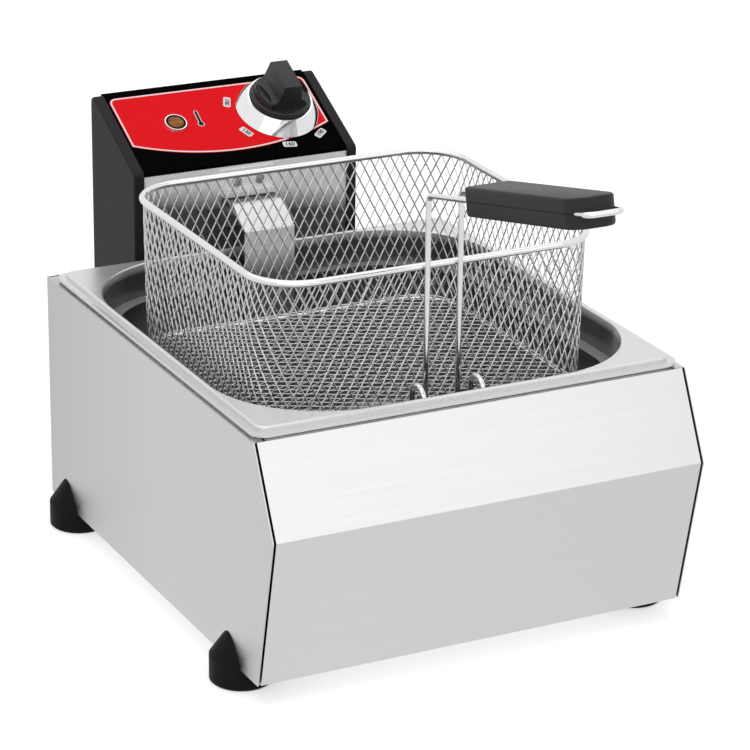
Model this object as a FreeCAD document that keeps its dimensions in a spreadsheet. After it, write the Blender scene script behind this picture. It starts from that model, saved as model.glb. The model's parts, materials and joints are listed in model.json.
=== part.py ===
import FreeCAD, Part
import math
import os
import re
import Sketcher

# Countertop deep fryer in millimetres: +Z up, front towards -Y, origin on the table under its middle
doc = FreeCAD.newDocument("DeepFryer")

# Driving sizes
SIZES = {
    # Tank's middle behind the middle of the whole fryer
    "tank_setback": 26.5,
    # Cabinet
    "cabinet_height": 172.8,
    "side_margin": 2.5,
    "front_margin": 1.8,
    "rear_margin": 9.0,
    "crease_reach": 30.0,
    "crease_drop": 60.0,
    "toe_reach": 6.2,
    "sheet_gauge": 0.8,
    "panel_seam": 1.8,
    "top_fold": 8.0,
    "bottom_fold": 16.0,
    "pan_upturn": 14.0,
    "pan_gap": 1.5,
    # Feet
    "foot_lift": 16.5,
    "foot_radius": 22.5,
    "foot_inset": 10.0,
    "foot_front_inset": 47.0,
    "foot_rear_inset": 30.5,
    "foot_wall": 19.0,
    "foot_peak": 46.0,
    "foot_peak_radius": 4.0,
    "foot_edge": 1.5,
    "foot_bore": 5.6,
    "foot_bore_depth": 9.0,
    "screw_radius": 2.0,
    "screw_head_radius": 4.0,
    "screw_head_height": 2.4,
    "screw_clearance": 0.1,
    # Tank
    "flange_width": 325.0,
    "flange_length": 354.0,
    "flange_corner": 10.0,
    "lip_width": 5.0,
    "lip_thickness": 2.4,
    "lip_gap": 1.6,
    "bead_rise": 3.0,
    "seat_inset": 2.2,
    "seat_width": 2.4,
    "seat_gap": 0.3,
    "tank_gauge": 0.8,
    "side_band": 8.0,
    "end_band": 8.5,
    "mouth_corner": 82.0,
    "ledge_drop": 26.0,
    "ledge_width": 10.0,
    "tank_depth": 150.0,
    "tank_floor_radius": 18.0,
    "brim_round": 1.4,
    # Head
    "head_gap": 3.4,
    "head_depth": 81.2,
    "head_drop": 55.3,
    "bend_rise": 67.7,
    "panel_slope": 27.0,
    "head_width": 169.6,
    "cap_thickness": 8.2,
    "cap_wall": 3.0,
    "cap_proud": 1.5,
    "cap_corner": 5.0,
    "cap_edge": 1.6,
    "fascia_gauge": 2.0,
    "label_gauge": 0.4,
    "label_margin": 2.5,
    "label_top": 84.0,
    "label_side_bottom": 30.0,
    "label_middle_bottom": 12.0,
    "label_corner": 6.0,
    "hanger_width": 140.0,
    "hanger_drop": 26.0,
    "hanger_play": 1.0,
    # Controls
    "knob_right": 46.5,
    "knob_up": 50.0,
    "bezel_radius": 33.0,
    "bezel_height": 12.0,
    "bezel_rim": 1.4,
    "bezel_foot": 1.0,
    "knob_radius": 23.5,
    "knob_skirt": 15.0,
    "knob_height": 36.0,
    "knob_grip_width": 13.6,
    "knob_grip_length": 30.0,
    "knob_grip_round": 2.0,
    "knob_clearance": 0.8,
    "knob_socket_depth": 14.0,
    "shaft_radius": 3.0,
    "shaft_bury": 10.0,
    "shaft_fit": 0.05,
    "bush_radius": 5.0,
    "thermostat_width": 38.0,
    "thermostat_depth": 30.0,
    "lamp_left": 40.0,
    "lamp_up": 48.0,
    "lamp_radius": 9.5,
    "lamp_rim_height": 2.6,
    "lens_radius": 6.8,
    "lens_height": 4.2,
    "lens_crown": 4.1,
    "lamp_body_radius": 6.0,
    "lamp_body_length": 24.0,
    "reset_left": 45.0,
    "reset_rise": 56.0,
    "reset_radius": 3.5,
    "reset_collar_radius": 7.0,
    "reset_collar_length": 4.0,
    "reset_proud": 4.0,
    "reset_travel": 2.5,
    "reset_play": 0.08,
    "reset_hole_gap": 1.0,
    "cutout_width": 30.0,
    "cutout_depth": 22.0,
    "gland_right": 45.0,
    "gland_rise": 24.0,
    "gland_radius": 9.0,
    "gland_bore": 4.0,
    "gland_length": 15.0,
    "gland_thread_radius": 6.5,
    "gland_nut_thickness": 5.0,
    "block_length": 46.0,
    "block_width": 20.0,
    "block_height": 18.0,
    # Element, guard and hook plate
    "tube_radius": 3.2,
    "tube_bend": 12.0,
    "tube_hole_gap": 0.3,
    "leg_spread": 24.0,
    "leg_clear": 15.5,
    "leg_rise": 28.7,
    "element_rise": 15.7,
    "element_front_clear": 40.5,
    "element_rear_clear": 42.5,
    "element_side_clear": 64.5,
    "element_turn_inset": 22.0,
    "nut_radius": 6.5,
    "nut_thickness": 5.0,
    "element_plate_width": 44.0,
    "element_plate_height": 22.0,
    "element_plate_gauge": 2.0,
    "guard_width": 41.0,
    "guard_gauge": 1.0,
    "guard_over_leg": 13.0,
    "guard_shelf": 20.4,
    "guard_clear": 21.0,
    "guard_shoulder": 16.0,
    "guard_foot_rise": 18.0,
    "bulb_radius": 3.0,
    "bulb_length": 76.0,
    "bulb_rise": 6.0,
    "capillary_radius": 1.0,
    "clip_height": 8.0,
    "hook_width": 44.4,
    "hook_height": 19.6,
    "hook_gap": 1.4,
    "hook_gauge": 1.5,
    "hook_lip": 6.0,
    "hook_lip_rise": 4.0,
    "hook_screw_spread": 19.2,
    "hook_screw_rise": 10.3,
    # Basket
    "rim_side_clear": 25.5,
    "rim_end_clear": 48.5,
    "rim_setback": 4.5,
    "rim_rise": 102.2,
    "rim_corner": 36.0,
    "rim_wire": 2.5,
    "basket_height": 114.0,
    "basket_taper": 2.0,
    "mesh_gauge": 0.5,
    "mesh_bar": 2.0,
    "mesh_margin": 3.0,
    "mesh_edge": 12.0,
    "floor_gap": 0.2,
    "base_wire": 1.5,
    "handle_wire_radius": 2.0,
    "handle_spread": 25.0,
    "handle_rise": 51.0,
    "handle_tilt": 12.9,
    "handle_reach": 213.1,
    "handle_bend": 6.0,
    "grip_start": 60.0,
    "grip_length": 142.5,
    "grip_width": 35.0,
    "grip_height": 20.0,
    "grip_corner": 13.0,
    "grip_rear_corner": 3.0,
    "grip_edge": 2.0,
    "grip_channel_gap": 0.05,
    "grip_screw_inset": 24.0,
    "grip_screw_length": 13.0,
    "hook_spread": 45.6,
    "hook_apex_rise": 23.4,
    "hook_span": 18.0,
    "hook_arch": 8.9,
    "hook_toe": 17.0,
    "hook_bend": 5.0,
}

sheet = doc.addObject("Spreadsheet::Sheet", "Sizes")
for row, (alias, amount) in enumerate(SIZES.items(), start=1):
    sheet.set(f"A{row}", alias)
    sheet.set(f"B{row}", str(amount))
    sheet.setAlias(f"B{row}", alias)
doc.recompute()


# Sizes and levels that follow from the driving sizes
FOLLOWS = {
    "top_level": "foot_lift + cabinet_height",
    "brim_level": "top_level + lip_gap + lip_thickness + bead_rise",
    "ledge_level": "brim_level - ledge_drop",
    "tank_floor_level": "brim_level - tank_depth",
    "cabinet_width": "flange_width + 2 * side_margin",
    "front_top": "flange_length / 2 + front_margin",
    "front_crease": "front_top + crease_reach",
    "front_bottom": "front_top + toe_reach",
    "crease_height": "cabinet_height - crease_drop",
    "rear_reach": "flange_length / 2 + rear_margin",
    "foot_front": "front_bottom - foot_front_inset",
    "foot_rear": "rear_reach - foot_rear_inset",
    "mouth_width": "flange_width - 2 * side_band",
    "mouth_length": "flange_length - 2 * end_band",
    "head_bottom": "top_level - head_drop",
    "bend_height": "top_level + bend_rise",
    "reset_height": "head_bottom + reset_rise",
    "gland_height": "head_bottom + gland_rise",
    "leg_height": "top_level + leg_rise",
    "element_height": "tank_floor_level + element_rise",
    "element_front": "mouth_length / 2 - element_front_clear",
    "element_rear": "mouth_length / 2 - element_rear_clear",
    "element_turn": "element_rear - element_turn_inset",
    "outer_run": "mouth_width / 2 - element_side_clear",
    "inner_run": "outer_run / 3",
    "guard_root_height": "leg_height + guard_over_leg",
    "guard_foot": "element_height + guard_foot_rise",
    "bulb_foot": "guard_foot + bulb_rise",
    "hook_bottom": "guard_root_height + hook_gap",
    "hook_top": "hook_bottom + hook_height",
    "hook_screw_height": "hook_bottom + hook_screw_rise",
    "rim_width": "mouth_width - 2 * rim_side_clear",
    "rim_length": "mouth_length - 2 * rim_end_clear",
    "rim_centre": "-rim_setback",
    "rim_height": "ledge_level + rim_rise",
    "hook_apex": "ledge_level + hook_apex_rise",
}


# Turns plain size names in a formula into cells of the sheet
def cells(text):
    def spelled(found):
        name = found[0]
        if name in FOLLOWS:
            return f"({cells(FOLLOWS[name])})"
        return f"Sizes.{name}" if name in SIZES else name
    return re.sub(r"[a-z][a-z_]*", spelled, text)


# Present value of a formula of size names
def amount_of(text):
    return float(sheet.evalExpression(cells(text)))


def point(x, y, z):
    return FreeCAD.Vector(amount_of(x), amount_of(y), amount_of(z))


# Places that several pieces share
TOP = "top_level"
HALF = "(cabinet_width / 2)"
LIP_BOTTOM = f"({TOP} + lip_gap)"
BRIM = "brim_level"
LEDGE = "ledge_level"
TANK_FLOOR = "tank_floor_level"
HEAD_FRONT = "(rear_reach + head_gap)"
HEAD_REAR = f"({HEAD_FRONT} + head_depth)"
PANEL_LENGTH = "(head_depth / cos(panel_slope))"
BACK_TOP = "(bend_height + head_depth * tan(panel_slope))"
KNOB_AT = ("knob_right", "knob_up")
LAMP_AT = ("-lamp_left", "lamp_up")
LEG_BACK = "(mouth_length / 2 - leg_clear)"
BASKET_FLOOR = "(rim_height - basket_height)"
ROD_FRONT = "(rim_centre - rim_length / 2 - rim_wire - handle_wire_radius)"
HANDLE_TOP = "(rim_height + handle_rise)"
WIRE_FRONT = "(rim_centre - rim_length / 2 + basket_taper + mesh_gauge)"


# Binds properties of an object to formulas of the sheet
def bind(item, **formulas):
    for name, text in formulas.items():
        item.setExpression(name, cells(text))


# Places an object, turned about an axis
def place(item, x="0", y="0", z="0", axis=(0, 0, 1), angle="0"):
    turn = FreeCAD.Rotation(FreeCAD.Vector(*axis), amount_of(angle))
    item.Placement = FreeCAD.Placement(point(x, y, z), turn)
    for name, text in (("x", x), ("y", y), ("z", z)):
        item.setExpression(f"Placement.Base.{name}", cells(text))
    return item


# Places an object in the sloping panel's own frame: x across, y up the slope, z out of the panel
def place_on_panel(item, across="0", up="0", out="0"):
    y = f"{HEAD_FRONT} + ({up}) * cos(panel_slope) - ({out}) * sin(panel_slope)"
    z = f"bend_height + ({up}) * sin(panel_slope) + ({out}) * cos(panel_slope)"
    return place(item, across, y, z, (1, 0, 0), "panel_slope")


# Rectangular block between two corners
def block(label, x, y, z, far_x, far_y, far_z):
    item = doc.addObject("Part::Box", label)
    bind(item, Length=f"({far_x}) - ({x})", Width=f"({far_y}) - ({y})", Height=f"({far_z}) - ({z})")
    return place(item, x, y, z)


# Round bar standing on a point along X, Y or Z
def bar(label, radius, length, x="0", y="0", z="0", along="z"):
    item = doc.addObject("Part::Cylinder", label)
    bind(item, Radius=radius, Height=length)
    axis, angle = {"x": ((0, 1, 0), "90"), "y": ((-1, 0, 0), "90"), "z": ((0, 0, 1), "0")}[along]
    return place(item, x, y, z, axis, angle)


def joined(label, *items):
    result = doc.addObject("Part::MultiFuse", label)
    result.Shapes = list(items)
    return result


# Takes tools out of a piece
def cut(label, base, *tools):
    result = doc.addObject("Part::Cut", label)
    result.Base = base
    result.Tool = tools[0] if len(tools) == 1 else joined(f"{label}_tools", *tools)
    return result


# Separate like pieces kept together in one group
def group(label, items):
    result = doc.addObject("Part::Compound", label)
    result.Links = list(items)
    return result


def new_body(label):
    return doc.addObject("PartDesign::Body", label)


# Empty sketch on one of a body's own planes, lifted along the plane's normal
def new_sketch(body, plane, name, lift="0"):
    sketch = body.newObject("Sketcher::SketchObject", name)
    support = next(f for f in body.Origin.OriginFeatures if f.Role == plane)
    sketch.AttachmentSupport = [(support, "")]
    sketch.MapMode = "FlatFace"
    sketch.setExpression("AttachmentOffset.Base.z", cells(lift))
    return sketch


# Ties a sketch point to formulas of the sheet
def tie(sketch, geometry, which, across, up):
    for kind, text, axis in (("DistanceX", across, -2), ("DistanceY", up, -1)):
        if text == "0":
            sketch.addConstraint(Sketcher.Constraint("PointOnObject", geometry, which, axis))
            continue
        rule = Sketcher.Constraint(kind, -1, 1, geometry, which, amount_of(text))
        sketch.setExpression(f"Constraints[{sketch.addConstraint(rule)}]", cells(text))


# Closed outline of straight lines through tied corners
def outline(sketch, corners):
    spots = [point(across, up, "0") for across, up in corners]
    count = len(spots)
    first = sketch.GeometryCount
    for index, spot in enumerate(spots):
        sketch.addGeometry(Part.LineSegment(spot, spots[(index + 1) % count]))
    for index in range(count):
        after = first + (index + 1) % count
        sketch.addConstraint(Sketcher.Constraint("Coincident", first + index, 2, after, 1))
    for index, (across, up) in enumerate(corners):
        tie(sketch, first + index, 1, across, up)
    return sketch


# Circle with its centre and radius tied to the sheet
def ring(sketch, across, up, radius):
    round_edge = Part.Circle(point(across, up, "0"), FreeCAD.Vector(0, 0, 1), amount_of(radius))
    index = sketch.addGeometry(round_edge)
    tie(sketch, index, 3, across, up)
    rule = sketch.addConstraint(Sketcher.Constraint("Radius", index, amount_of(radius)))
    sketch.setExpression(f"Constraints[{rule}]", cells(radius))
    return sketch


# Rounded rectangle: four tied corner arcs with tangent lines between them
def rounded(sketch, half_x, half_y, radius, middle_y="0"):
    first = sketch.GeometryCount
    size = amount_of(radius)
    signs = ((1, 1), (-1, 1), (-1, -1), (1, -1))
    for quarter, (sign_x, sign_y) in enumerate(signs):
        centre = point(f"{sign_x} * (({half_x}) - ({radius}))",
                       f"({middle_y}) + {sign_y} * (({half_y}) - ({radius}))", "0")
        circle = Part.Circle(centre, FreeCAD.Vector(0, 0, 1), size)
        sketch.addGeometry(Part.ArcOfCircle(circle, quarter * math.pi / 2, (quarter + 1) * math.pi / 2))
    for quarter in range(4):
        start = sketch.Geometry[first + quarter].EndPoint
        end = sketch.Geometry[first + (quarter + 1) % 4].StartPoint
        line = sketch.addGeometry(Part.LineSegment(start, end))
        sketch.addConstraint(Sketcher.Constraint("Tangent", first + quarter, 2, line, 1))
        sketch.addConstraint(Sketcher.Constraint("Tangent", line, 2, first + (quarter + 1) % 4, 1))
    for quarter, (sign_x, sign_y) in enumerate(signs):
        tie(sketch, first + quarter, 3, f"{sign_x} * (({half_x}) - ({radius}))",
            f"({middle_y}) + {sign_y} * (({half_y}) - ({radius}))")
        rule = sketch.addConstraint(Sketcher.Constraint("Radius", first + quarter, size))
        sketch.setExpression(f"Constraints[{rule}]", cells(radius))
    return sketch


# Adds or takes away the space over a sketch
def extrude(body, kind, sketch, length, name):
    feature = body.newObject(f"PartDesign::{kind}", name)
    feature.Profile = sketch
    bind(feature, Length=length)
    return feature


def pad(body, sketch, length, name):
    return extrude(body, "Pad", sketch, length, name)


def pocket(body, sketch, length, name):
    return extrude(body, "Pocket", sketch, length, name)


# Bar of one outline: drawn on a plane and padded along its normal
def prism(label, plane, corners, start, length):
    body = new_body(label)
    sketch = outline(new_sketch(body, plane, f"{label}_outline", start), corners)
    pad(body, sketch, length, f"{label}_pad")
    return body


# Turned piece: half profile of radius and height spun about Z
def lathe(label, profile):
    body = new_body(label)
    sketch = outline(new_sketch(body, "XZ_Plane", f"{label}_profile"), profile)
    turn = body.newObject("PartDesign::Revolution", f"{label}_turn")
    turn.Profile = sketch
    turn.ReferenceAxis = (sketch, ["V_Axis"])
    turn.Angle = 360.0
    return body


# Rounds those edges of the body's last feature that pass a test
def round_edges(body, test, radius, name):
    doc.recompute()
    tip = body.Tip
    names = [f"Edge{i}" for i, edge in enumerate(tip.Shape.Edges, start=1) if test(edge)]
    fillet = body.newObject("PartDesign::Fillet", name)
    fillet.Base = (tip, names)
    bind(fillet, Radius=radius)
    return fillet


def stands(edge):
    return abs(edge.tangentAt(edge.FirstParameter).z) > 0.99


# Route of straight runs with a round bend of its own radius at each inner corner
def bent_route(corners, bends, closed=False):
    count = len(corners)
    inner = range(count) if closed else range(1, count - 1)
    edges = []
    bend_ends = {}
    for index in inner:
        corner = corners[index]
        back = (corners[index - 1] - corner).normalize()
        ahead = (corners[(index + 1) % count] - corner).normalize()
        half_angle = back.getAngle(ahead) / 2
        radius = bends[index]
        setback = radius / math.tan(half_angle)
        middle_way = (back + ahead).normalize()
        deepest = corner + middle_way * (radius / math.sin(half_angle) - radius)
        start = corner + back * setback
        end = corner + ahead * setback
        bend_ends[index] = (start, Part.Arc(start, deepest, end).toShape(), end)
    for index in range(count if closed else count - 1):
        after = (index + 1) % count
        start = bend_ends[index][2] if index in bend_ends else corners[index]
        end = bend_ends[after][0] if after in bend_ends else corners[after]
        edges.append(Part.makeLine(start, end))
        if after in bend_ends:
            edges.append(bend_ends[after][1])
    return Part.Wire(edges)


# Round wire or tube swept along a bent route
def bent_tube(label, corners, bend, radius, closed=False, bends=None):
    radii = bends or [amount_of(bend)] * len(corners)
    route = bent_route(corners, radii, closed)
    start = route.Edges[0]
    circle = Part.Circle(start.valueAt(start.FirstParameter), start.tangentAt(start.FirstParameter),
                         amount_of(radius))
    item = doc.addObject("Part::Feature", label)
    item.Shape = route.makePipeShell([Part.Wire(circle.toShape())], True, False)
    return item


# Screw along an axis: shank and flat round head, head at the starting point
def screw(label, x, y, z, length, along="z"):
    lead = {"x": (1, 0, 0), "y": (0, 1, 0), "z": (0, 0, 1)}[along]
    head = bar(f"{label}_head", "screw_head_radius", "screw_head_height", x, y, z, along)
    base = [f"({text}) + {step} * screw_head_height" for text, step in zip((x, y, z), lead)]
    shank = bar(f"{label}_shank", "screw_radius", length, *base, along)
    return joined(label, head, shank)


parts = []


# Keeps a finished sub-part for the hand-over files
def keep(item, label):
    item.Label = label
    parts.append(item)
    return item


# Cabinet: side panels with folds at the top and bottom
FOOT_SPOTS = {
    "front_left": (-1, "-foot_front"),
    "front_right": (1, "-foot_front"),
    "rear_left": (-1, "foot_rear"),
    "rear_right": (1, "foot_rear"),
}
SCREW_HOLE = "screw_radius + screw_clearance"
FOOT_AXIS = f"({HALF} - foot_inset)"


# Drilled holes for the foot screws through the floor sheets on one or both sides
def foot_holes(label, sides):
    spots = [(name, side, y) for name, (side, y) in FOOT_SPOTS.items() if side in sides]
    return [bar(f"{label}_{name}_hole", SCREW_HOLE, "4 * sheet_gauge", f"{side} * {FOOT_AXIS}", y,
                "foot_lift - sheet_gauge") for name, side, y in spots]


def side_panel(label, side):
    body = new_body(f"{label}_sheet")
    start = f"-{HALF}" if side < 0 else f"{HALF} - sheet_gauge"
    sketch = new_sketch(body, "YZ_Plane", f"{label}_outline", start)
    outline(sketch, [("rear_reach", "foot_lift"), ("rear_reach", TOP), ("-front_top", TOP),
                     ("-front_crease", "foot_lift + crease_height"), ("-front_bottom", "foot_lift")])
    pad(body, sketch, "sheet_gauge", f"{label}_pad")
    inner = {-1: (f"-{HALF}", f"-{HALF} + top_fold"), 1: (f"{HALF} - top_fold", HALF)}[side]
    lower = {-1: (f"-{HALF}", f"-{HALF} + bottom_fold"), 1: (f"{HALF} - bottom_fold", HALF)}[side]
    top_fold = block(f"{label}_top_fold", inner[0], "-front_top + pan_gap", f"{TOP} - sheet_gauge",
                     inner[1], "rear_reach - sheet_gauge - pan_gap", TOP)
    bottom_fold = block(f"{label}_bottom_fold",
                        lower[0], "-front_bottom + pan_gap + sheet_gauge", "foot_lift",
                        lower[1], "rear_reach - sheet_gauge - pan_gap", "foot_lift + sheet_gauge")
    folded = joined(f"{label}_folded", body, top_fold, bottom_fold)
    return keep(cut(label, folded, *foot_holes(label, (side,))), label)


side_panel("side_panel_left", -1)
side_panel("side_panel_right", 1)

# Front panel: one sheet bent along the crease, with folds behind its top and bottom edges
front_half = f"({HALF} - sheet_gauge - panel_seam)"
front_sheet = prism(
    "front_sheet", "YZ_Plane",
    [("-front_top", TOP), ("-front_crease", "foot_lift + crease_height"), ("-front_bottom", "foot_lift"),
     ("-front_bottom + sheet_gauge", "foot_lift"),
     ("-front_crease + sheet_gauge", "foot_lift + crease_height"),
     ("-front_top + sheet_gauge", TOP)],
    f"-{front_half}", f"2 * {front_half}")
fold_half = f"({HALF} - bottom_fold - pan_gap)"
front_top_fold = block("front_top_fold",
                       f"-{HALF} + top_fold + pan_gap", "-front_top", f"{TOP} - sheet_gauge",
                       f"{HALF} - top_fold - pan_gap", "-front_top + top_fold", TOP)
front_bottom_fold = block("front_bottom_fold",
                          f"-{fold_half}", "-front_bottom + sheet_gauge / 2", "foot_lift",
                          fold_half, "-front_bottom + bottom_fold", "foot_lift + sheet_gauge")
keep(joined("front_panel", front_sheet, front_top_fold, front_bottom_fold), "front_panel")

# Rear panel: plain top edge that the head hangs on, fold under the base pan
rear_half = f"({HALF} - sheet_gauge)"
rear_sheet = block("rear_sheet", f"-{rear_half}", "rear_reach - sheet_gauge", "foot_lift",
                   rear_half, "rear_reach", TOP)
rear_fold = block("rear_fold", f"-{fold_half}", "rear_reach - bottom_fold", "foot_lift",
                  fold_half, "rear_reach - sheet_gauge / 2", "foot_lift + sheet_gauge")
keep(joined("rear_panel", rear_sheet, rear_fold), "rear_panel")

# Base pan: tray lying on the bottom folds, turned up at the front and rear
pan_front = "(-front_bottom + sheet_gauge + pan_gap)"
pan_rear = "(rear_reach - sheet_gauge - pan_gap)"
pan_low = "(foot_lift + sheet_gauge)"
pan_tray = prism(
    "pan_tray", "YZ_Plane",
    [(pan_front, pan_low), (pan_rear, pan_low), (pan_rear, f"{pan_low} + pan_upturn"),
     (f"{pan_rear} - sheet_gauge", f"{pan_low} + pan_upturn"),
     (f"{pan_rear} - sheet_gauge", f"{pan_low} + sheet_gauge"),
     (f"{pan_front} + sheet_gauge", f"{pan_low} + sheet_gauge"),
     (f"{pan_front} + sheet_gauge", f"{pan_low} + pan_upturn"),
     (pan_front, f"{pan_low} + pan_upturn")],
    f"-{HALF} + sheet_gauge + pan_gap", "cabinet_width - 2 * sheet_gauge - 2 * pan_gap")
keep(cut("base_pan", pan_tray, *foot_holes("base_pan", (-1, 1))), "base_pan")


# Feet: turned foot whose upper cone is cut away inside the cabinet, leaving a lug up the side panel
def foot(name, side, y):
    label = f"foot_{name}"
    body = lathe(label, [("0", "0"), ("foot_radius - foot_edge", "0"), ("foot_radius", "foot_edge"),
                         ("foot_radius", "foot_wall"), ("foot_peak_radius", "foot_peak"), ("0", "foot_peak")])
    inside = new_sketch(body, "XZ_Plane", f"{label}_inside", "-2 * foot_radius")
    outline(inside, [("-foot_inset", "foot_lift"), ("2 * foot_radius", "foot_lift"),
                     ("2 * foot_radius", "2 * foot_peak"), ("-foot_inset", "2 * foot_peak")])
    notch = pocket(body, inside, "4 * foot_radius", f"{label}_notch")
    notch.Reversed = True
    bore = ring(new_sketch(body, "XY_Plane", f"{label}_bore"), "0", "0", "foot_bore")
    sink = pocket(body, bore, "foot_bore_depth", f"{label}_sink")
    sink.Reversed = True
    hole = ring(new_sketch(body, "XY_Plane", f"{label}_hole"), "0", "0", SCREW_HOLE)
    through = pocket(body, hole, "foot_peak", f"{label}_through")
    through.Reversed = True
    place(body, f"{side} * {FOOT_AXIS}", y, "0", (0, 0, 1), "0" if side < 0 else "180")
    return keep(body, label)


for name, (side, y) in FOOT_SPOTS.items():
    foot(name, side, y)
foot_screw_length = f"({pan_low} + 2 * sheet_gauge - foot_bore_depth)"
keep(group("foot_screws", [
    screw(f"foot_screw_{name}", f"{side} * {FOOT_AXIS}", y, "foot_bore_depth - screw_head_height",
          foot_screw_length) for name, (side, y) in FOOT_SPOTS.items()]), "foot_screws")

# Tank: drawn walls with a ledge, flange with a raised bead and an under-seat on the cabinet's folds
tank = new_body("oil_tank")
low_x = "(mouth_width / 2 - ledge_width)"
low_y = "(mouth_length / 2 - ledge_width)"
low_corner = "(mouth_corner - ledge_width)"
lower = rounded(new_sketch(tank, "XY_Plane", "lower_outline", f"{TANK_FLOOR} - tank_gauge"),
                f"{low_x} + tank_gauge", f"{low_y} + tank_gauge", f"{low_corner} + tank_gauge")
pad(tank, lower, f"{LEDGE} - {TANK_FLOOR}", "lower_walls")
upper = rounded(new_sketch(tank, "XY_Plane", "upper_outline", f"{LEDGE} - tank_gauge"),
                "mouth_width / 2 + tank_gauge", "mouth_length / 2 + tank_gauge", "mouth_corner + tank_gauge")
pad(tank, upper, f"{BRIM} - {LEDGE} + tank_gauge", "upper_walls")
lip = rounded(new_sketch(tank, "XY_Plane", "lip_outline", LIP_BOTTOM),
              "flange_width / 2", "flange_length / 2", "flange_corner")
pad(tank, lip, "lip_thickness", "lip")
bead = rounded(new_sketch(tank, "XY_Plane", "bead_outline", LIP_BOTTOM),
               "flange_width / 2 - lip_width", "flange_length / 2 - lip_width",
               "flange_corner - lip_width / 2")
pad(tank, bead, "lip_thickness + bead_rise", "bead")
seat = new_sketch(tank, "XY_Plane", "seat_outline", f"{TOP} + seat_gap")
rounded(seat, "flange_width / 2 - seat_inset", "flange_length / 2 - seat_inset", "flange_corner")
rounded(seat, "flange_width / 2 - seat_inset - seat_width", "flange_length / 2 - seat_inset - seat_width",
        "flange_corner - seat_width")
pad(tank, seat, "lip_gap - seat_gap", "seat")
mouth = rounded(new_sketch(tank, "XY_Plane", "mouth_outline", BRIM),
                "mouth_width / 2", "mouth_length / 2", "mouth_corner")
pocket(tank, mouth, "ledge_drop", "mouth")
well = rounded(new_sketch(tank, "XY_Plane", "well_outline", LEDGE), low_x, low_y, low_corner)
pocket(tank, well, f"{LEDGE} - {TANK_FLOOR}", "well")
well_level = amount_of(TANK_FLOOR)
round_edges(tank, lambda edge: all(abs(v.Z - well_level) < 1e-6 for v in edge.Vertexes),
            "tank_floor_radius", "well_rounding")
floor_level = amount_of(f"{TANK_FLOOR} - tank_gauge")
round_edges(tank, lambda edge: all(abs(v.Z - floor_level) < 1e-6 for v in edge.Vertexes),
            "tank_floor_radius + tank_gauge", "lower_rounding")
brim_level = amount_of(BRIM)
round_edges(tank, lambda edge: all(abs(v.Z - brim_level) < 1e-6 for v in edge.Vertexes),
            "brim_round", "brim_rounding")
keep(tank, "oil_tank")

# Head: front plate with openings for the element's legs and the sensing tube
plate_half = "(head_width / 2)"
head_back = f"({HEAD_FRONT} + sheet_gauge)"
plate_top = "(bend_height - fascia_gauge / cos(panel_slope) - sheet_gauge * tan(panel_slope))"
tube_hole = "tube_radius + tube_hole_gap"
plate_blank = block("front_plate_blank", f"-{plate_half}", HEAD_FRONT, "head_bottom",
                    plate_half, head_back, plate_top)


# Openings through the upright plates for the two legs and the capillary between them
def leg_openings(label):
    start = f"{HEAD_FRONT} - 2 * element_plate_gauge"
    length = "4 * element_plate_gauge"
    left = bar(f"{label}_left", tube_hole, length, "-leg_spread / 2", start, "leg_height", "y")
    right = bar(f"{label}_right", tube_hole, length, "leg_spread / 2", start, "leg_height", "y")
    middle = bar(f"{label}_middle", "capillary_radius + tube_hole_gap", length, "0", start, "leg_height", "y")
    return [left, right, middle]


keep(cut("head_front_plate", plate_blank, *leg_openings("front_plate_leg")), "head_front_plate")

# Hanger: channel on the front plate that drops over the rear panel's top edge
hang_top = f"({TOP} + seat_gap)"
hang_front = "(rear_reach - sheet_gauge - hanger_play - sheet_gauge)"
keep(prism(
    "head_hanger", "YZ_Plane",
    [(HEAD_FRONT, f"{hang_top} - hanger_drop"), (HEAD_FRONT, f"{hang_top} + sheet_gauge"),
     (hang_front, f"{hang_top} + sheet_gauge"), (hang_front, f"{hang_top} - hanger_drop"),
     (f"{hang_front} + sheet_gauge", f"{hang_top} - hanger_drop"), (f"{hang_front} + sheet_gauge", hang_top),
     (f"{HEAD_FRONT} - sheet_gauge", hang_top), (f"{HEAD_FRONT} - sheet_gauge", f"{hang_top} - hanger_drop")],
    "-hanger_width / 2", "hanger_width"), "head_hanger")

# Back cover with a fold under the floor plate, and openings for the gland and the reset button
cover_top = f"({BACK_TOP} - fascia_gauge / cos(panel_slope) - sheet_gauge)"
cover_blank = prism(
    "back_cover_blank", "YZ_Plane",
    [(HEAD_REAR, "head_bottom"), (HEAD_REAR, cover_top), (f"{HEAD_REAR} - sheet_gauge", cover_top),
     (f"{HEAD_REAR} - sheet_gauge", "head_bottom + sheet_gauge"),
     (f"{HEAD_REAR} - bottom_fold", "head_bottom + sheet_gauge"),
     (f"{HEAD_REAR} - bottom_fold", "head_bottom")],
    f"-{plate_half}", "head_width")
gland_opening = bar("gland_opening", "gland_thread_radius", "4 * sheet_gauge", "gland_right",
                    f"{HEAD_REAR} - 2 * sheet_gauge", "gland_height", "y")
reset_opening = bar("reset_opening", "reset_radius + reset_hole_gap", "4 * sheet_gauge", "-reset_left",
                    f"{HEAD_REAR} - 2 * sheet_gauge", "reset_height", "y")
keep(cut("head_back_cover", cover_blank, gland_opening, reset_opening), "head_back_cover")
keep(block("head_floor", f"-{plate_half}", head_back, "head_bottom + sheet_gauge",
           plate_half, f"{HEAD_REAR} - sheet_gauge", "head_bottom + 2 * sheet_gauge"), "head_floor")


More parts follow.
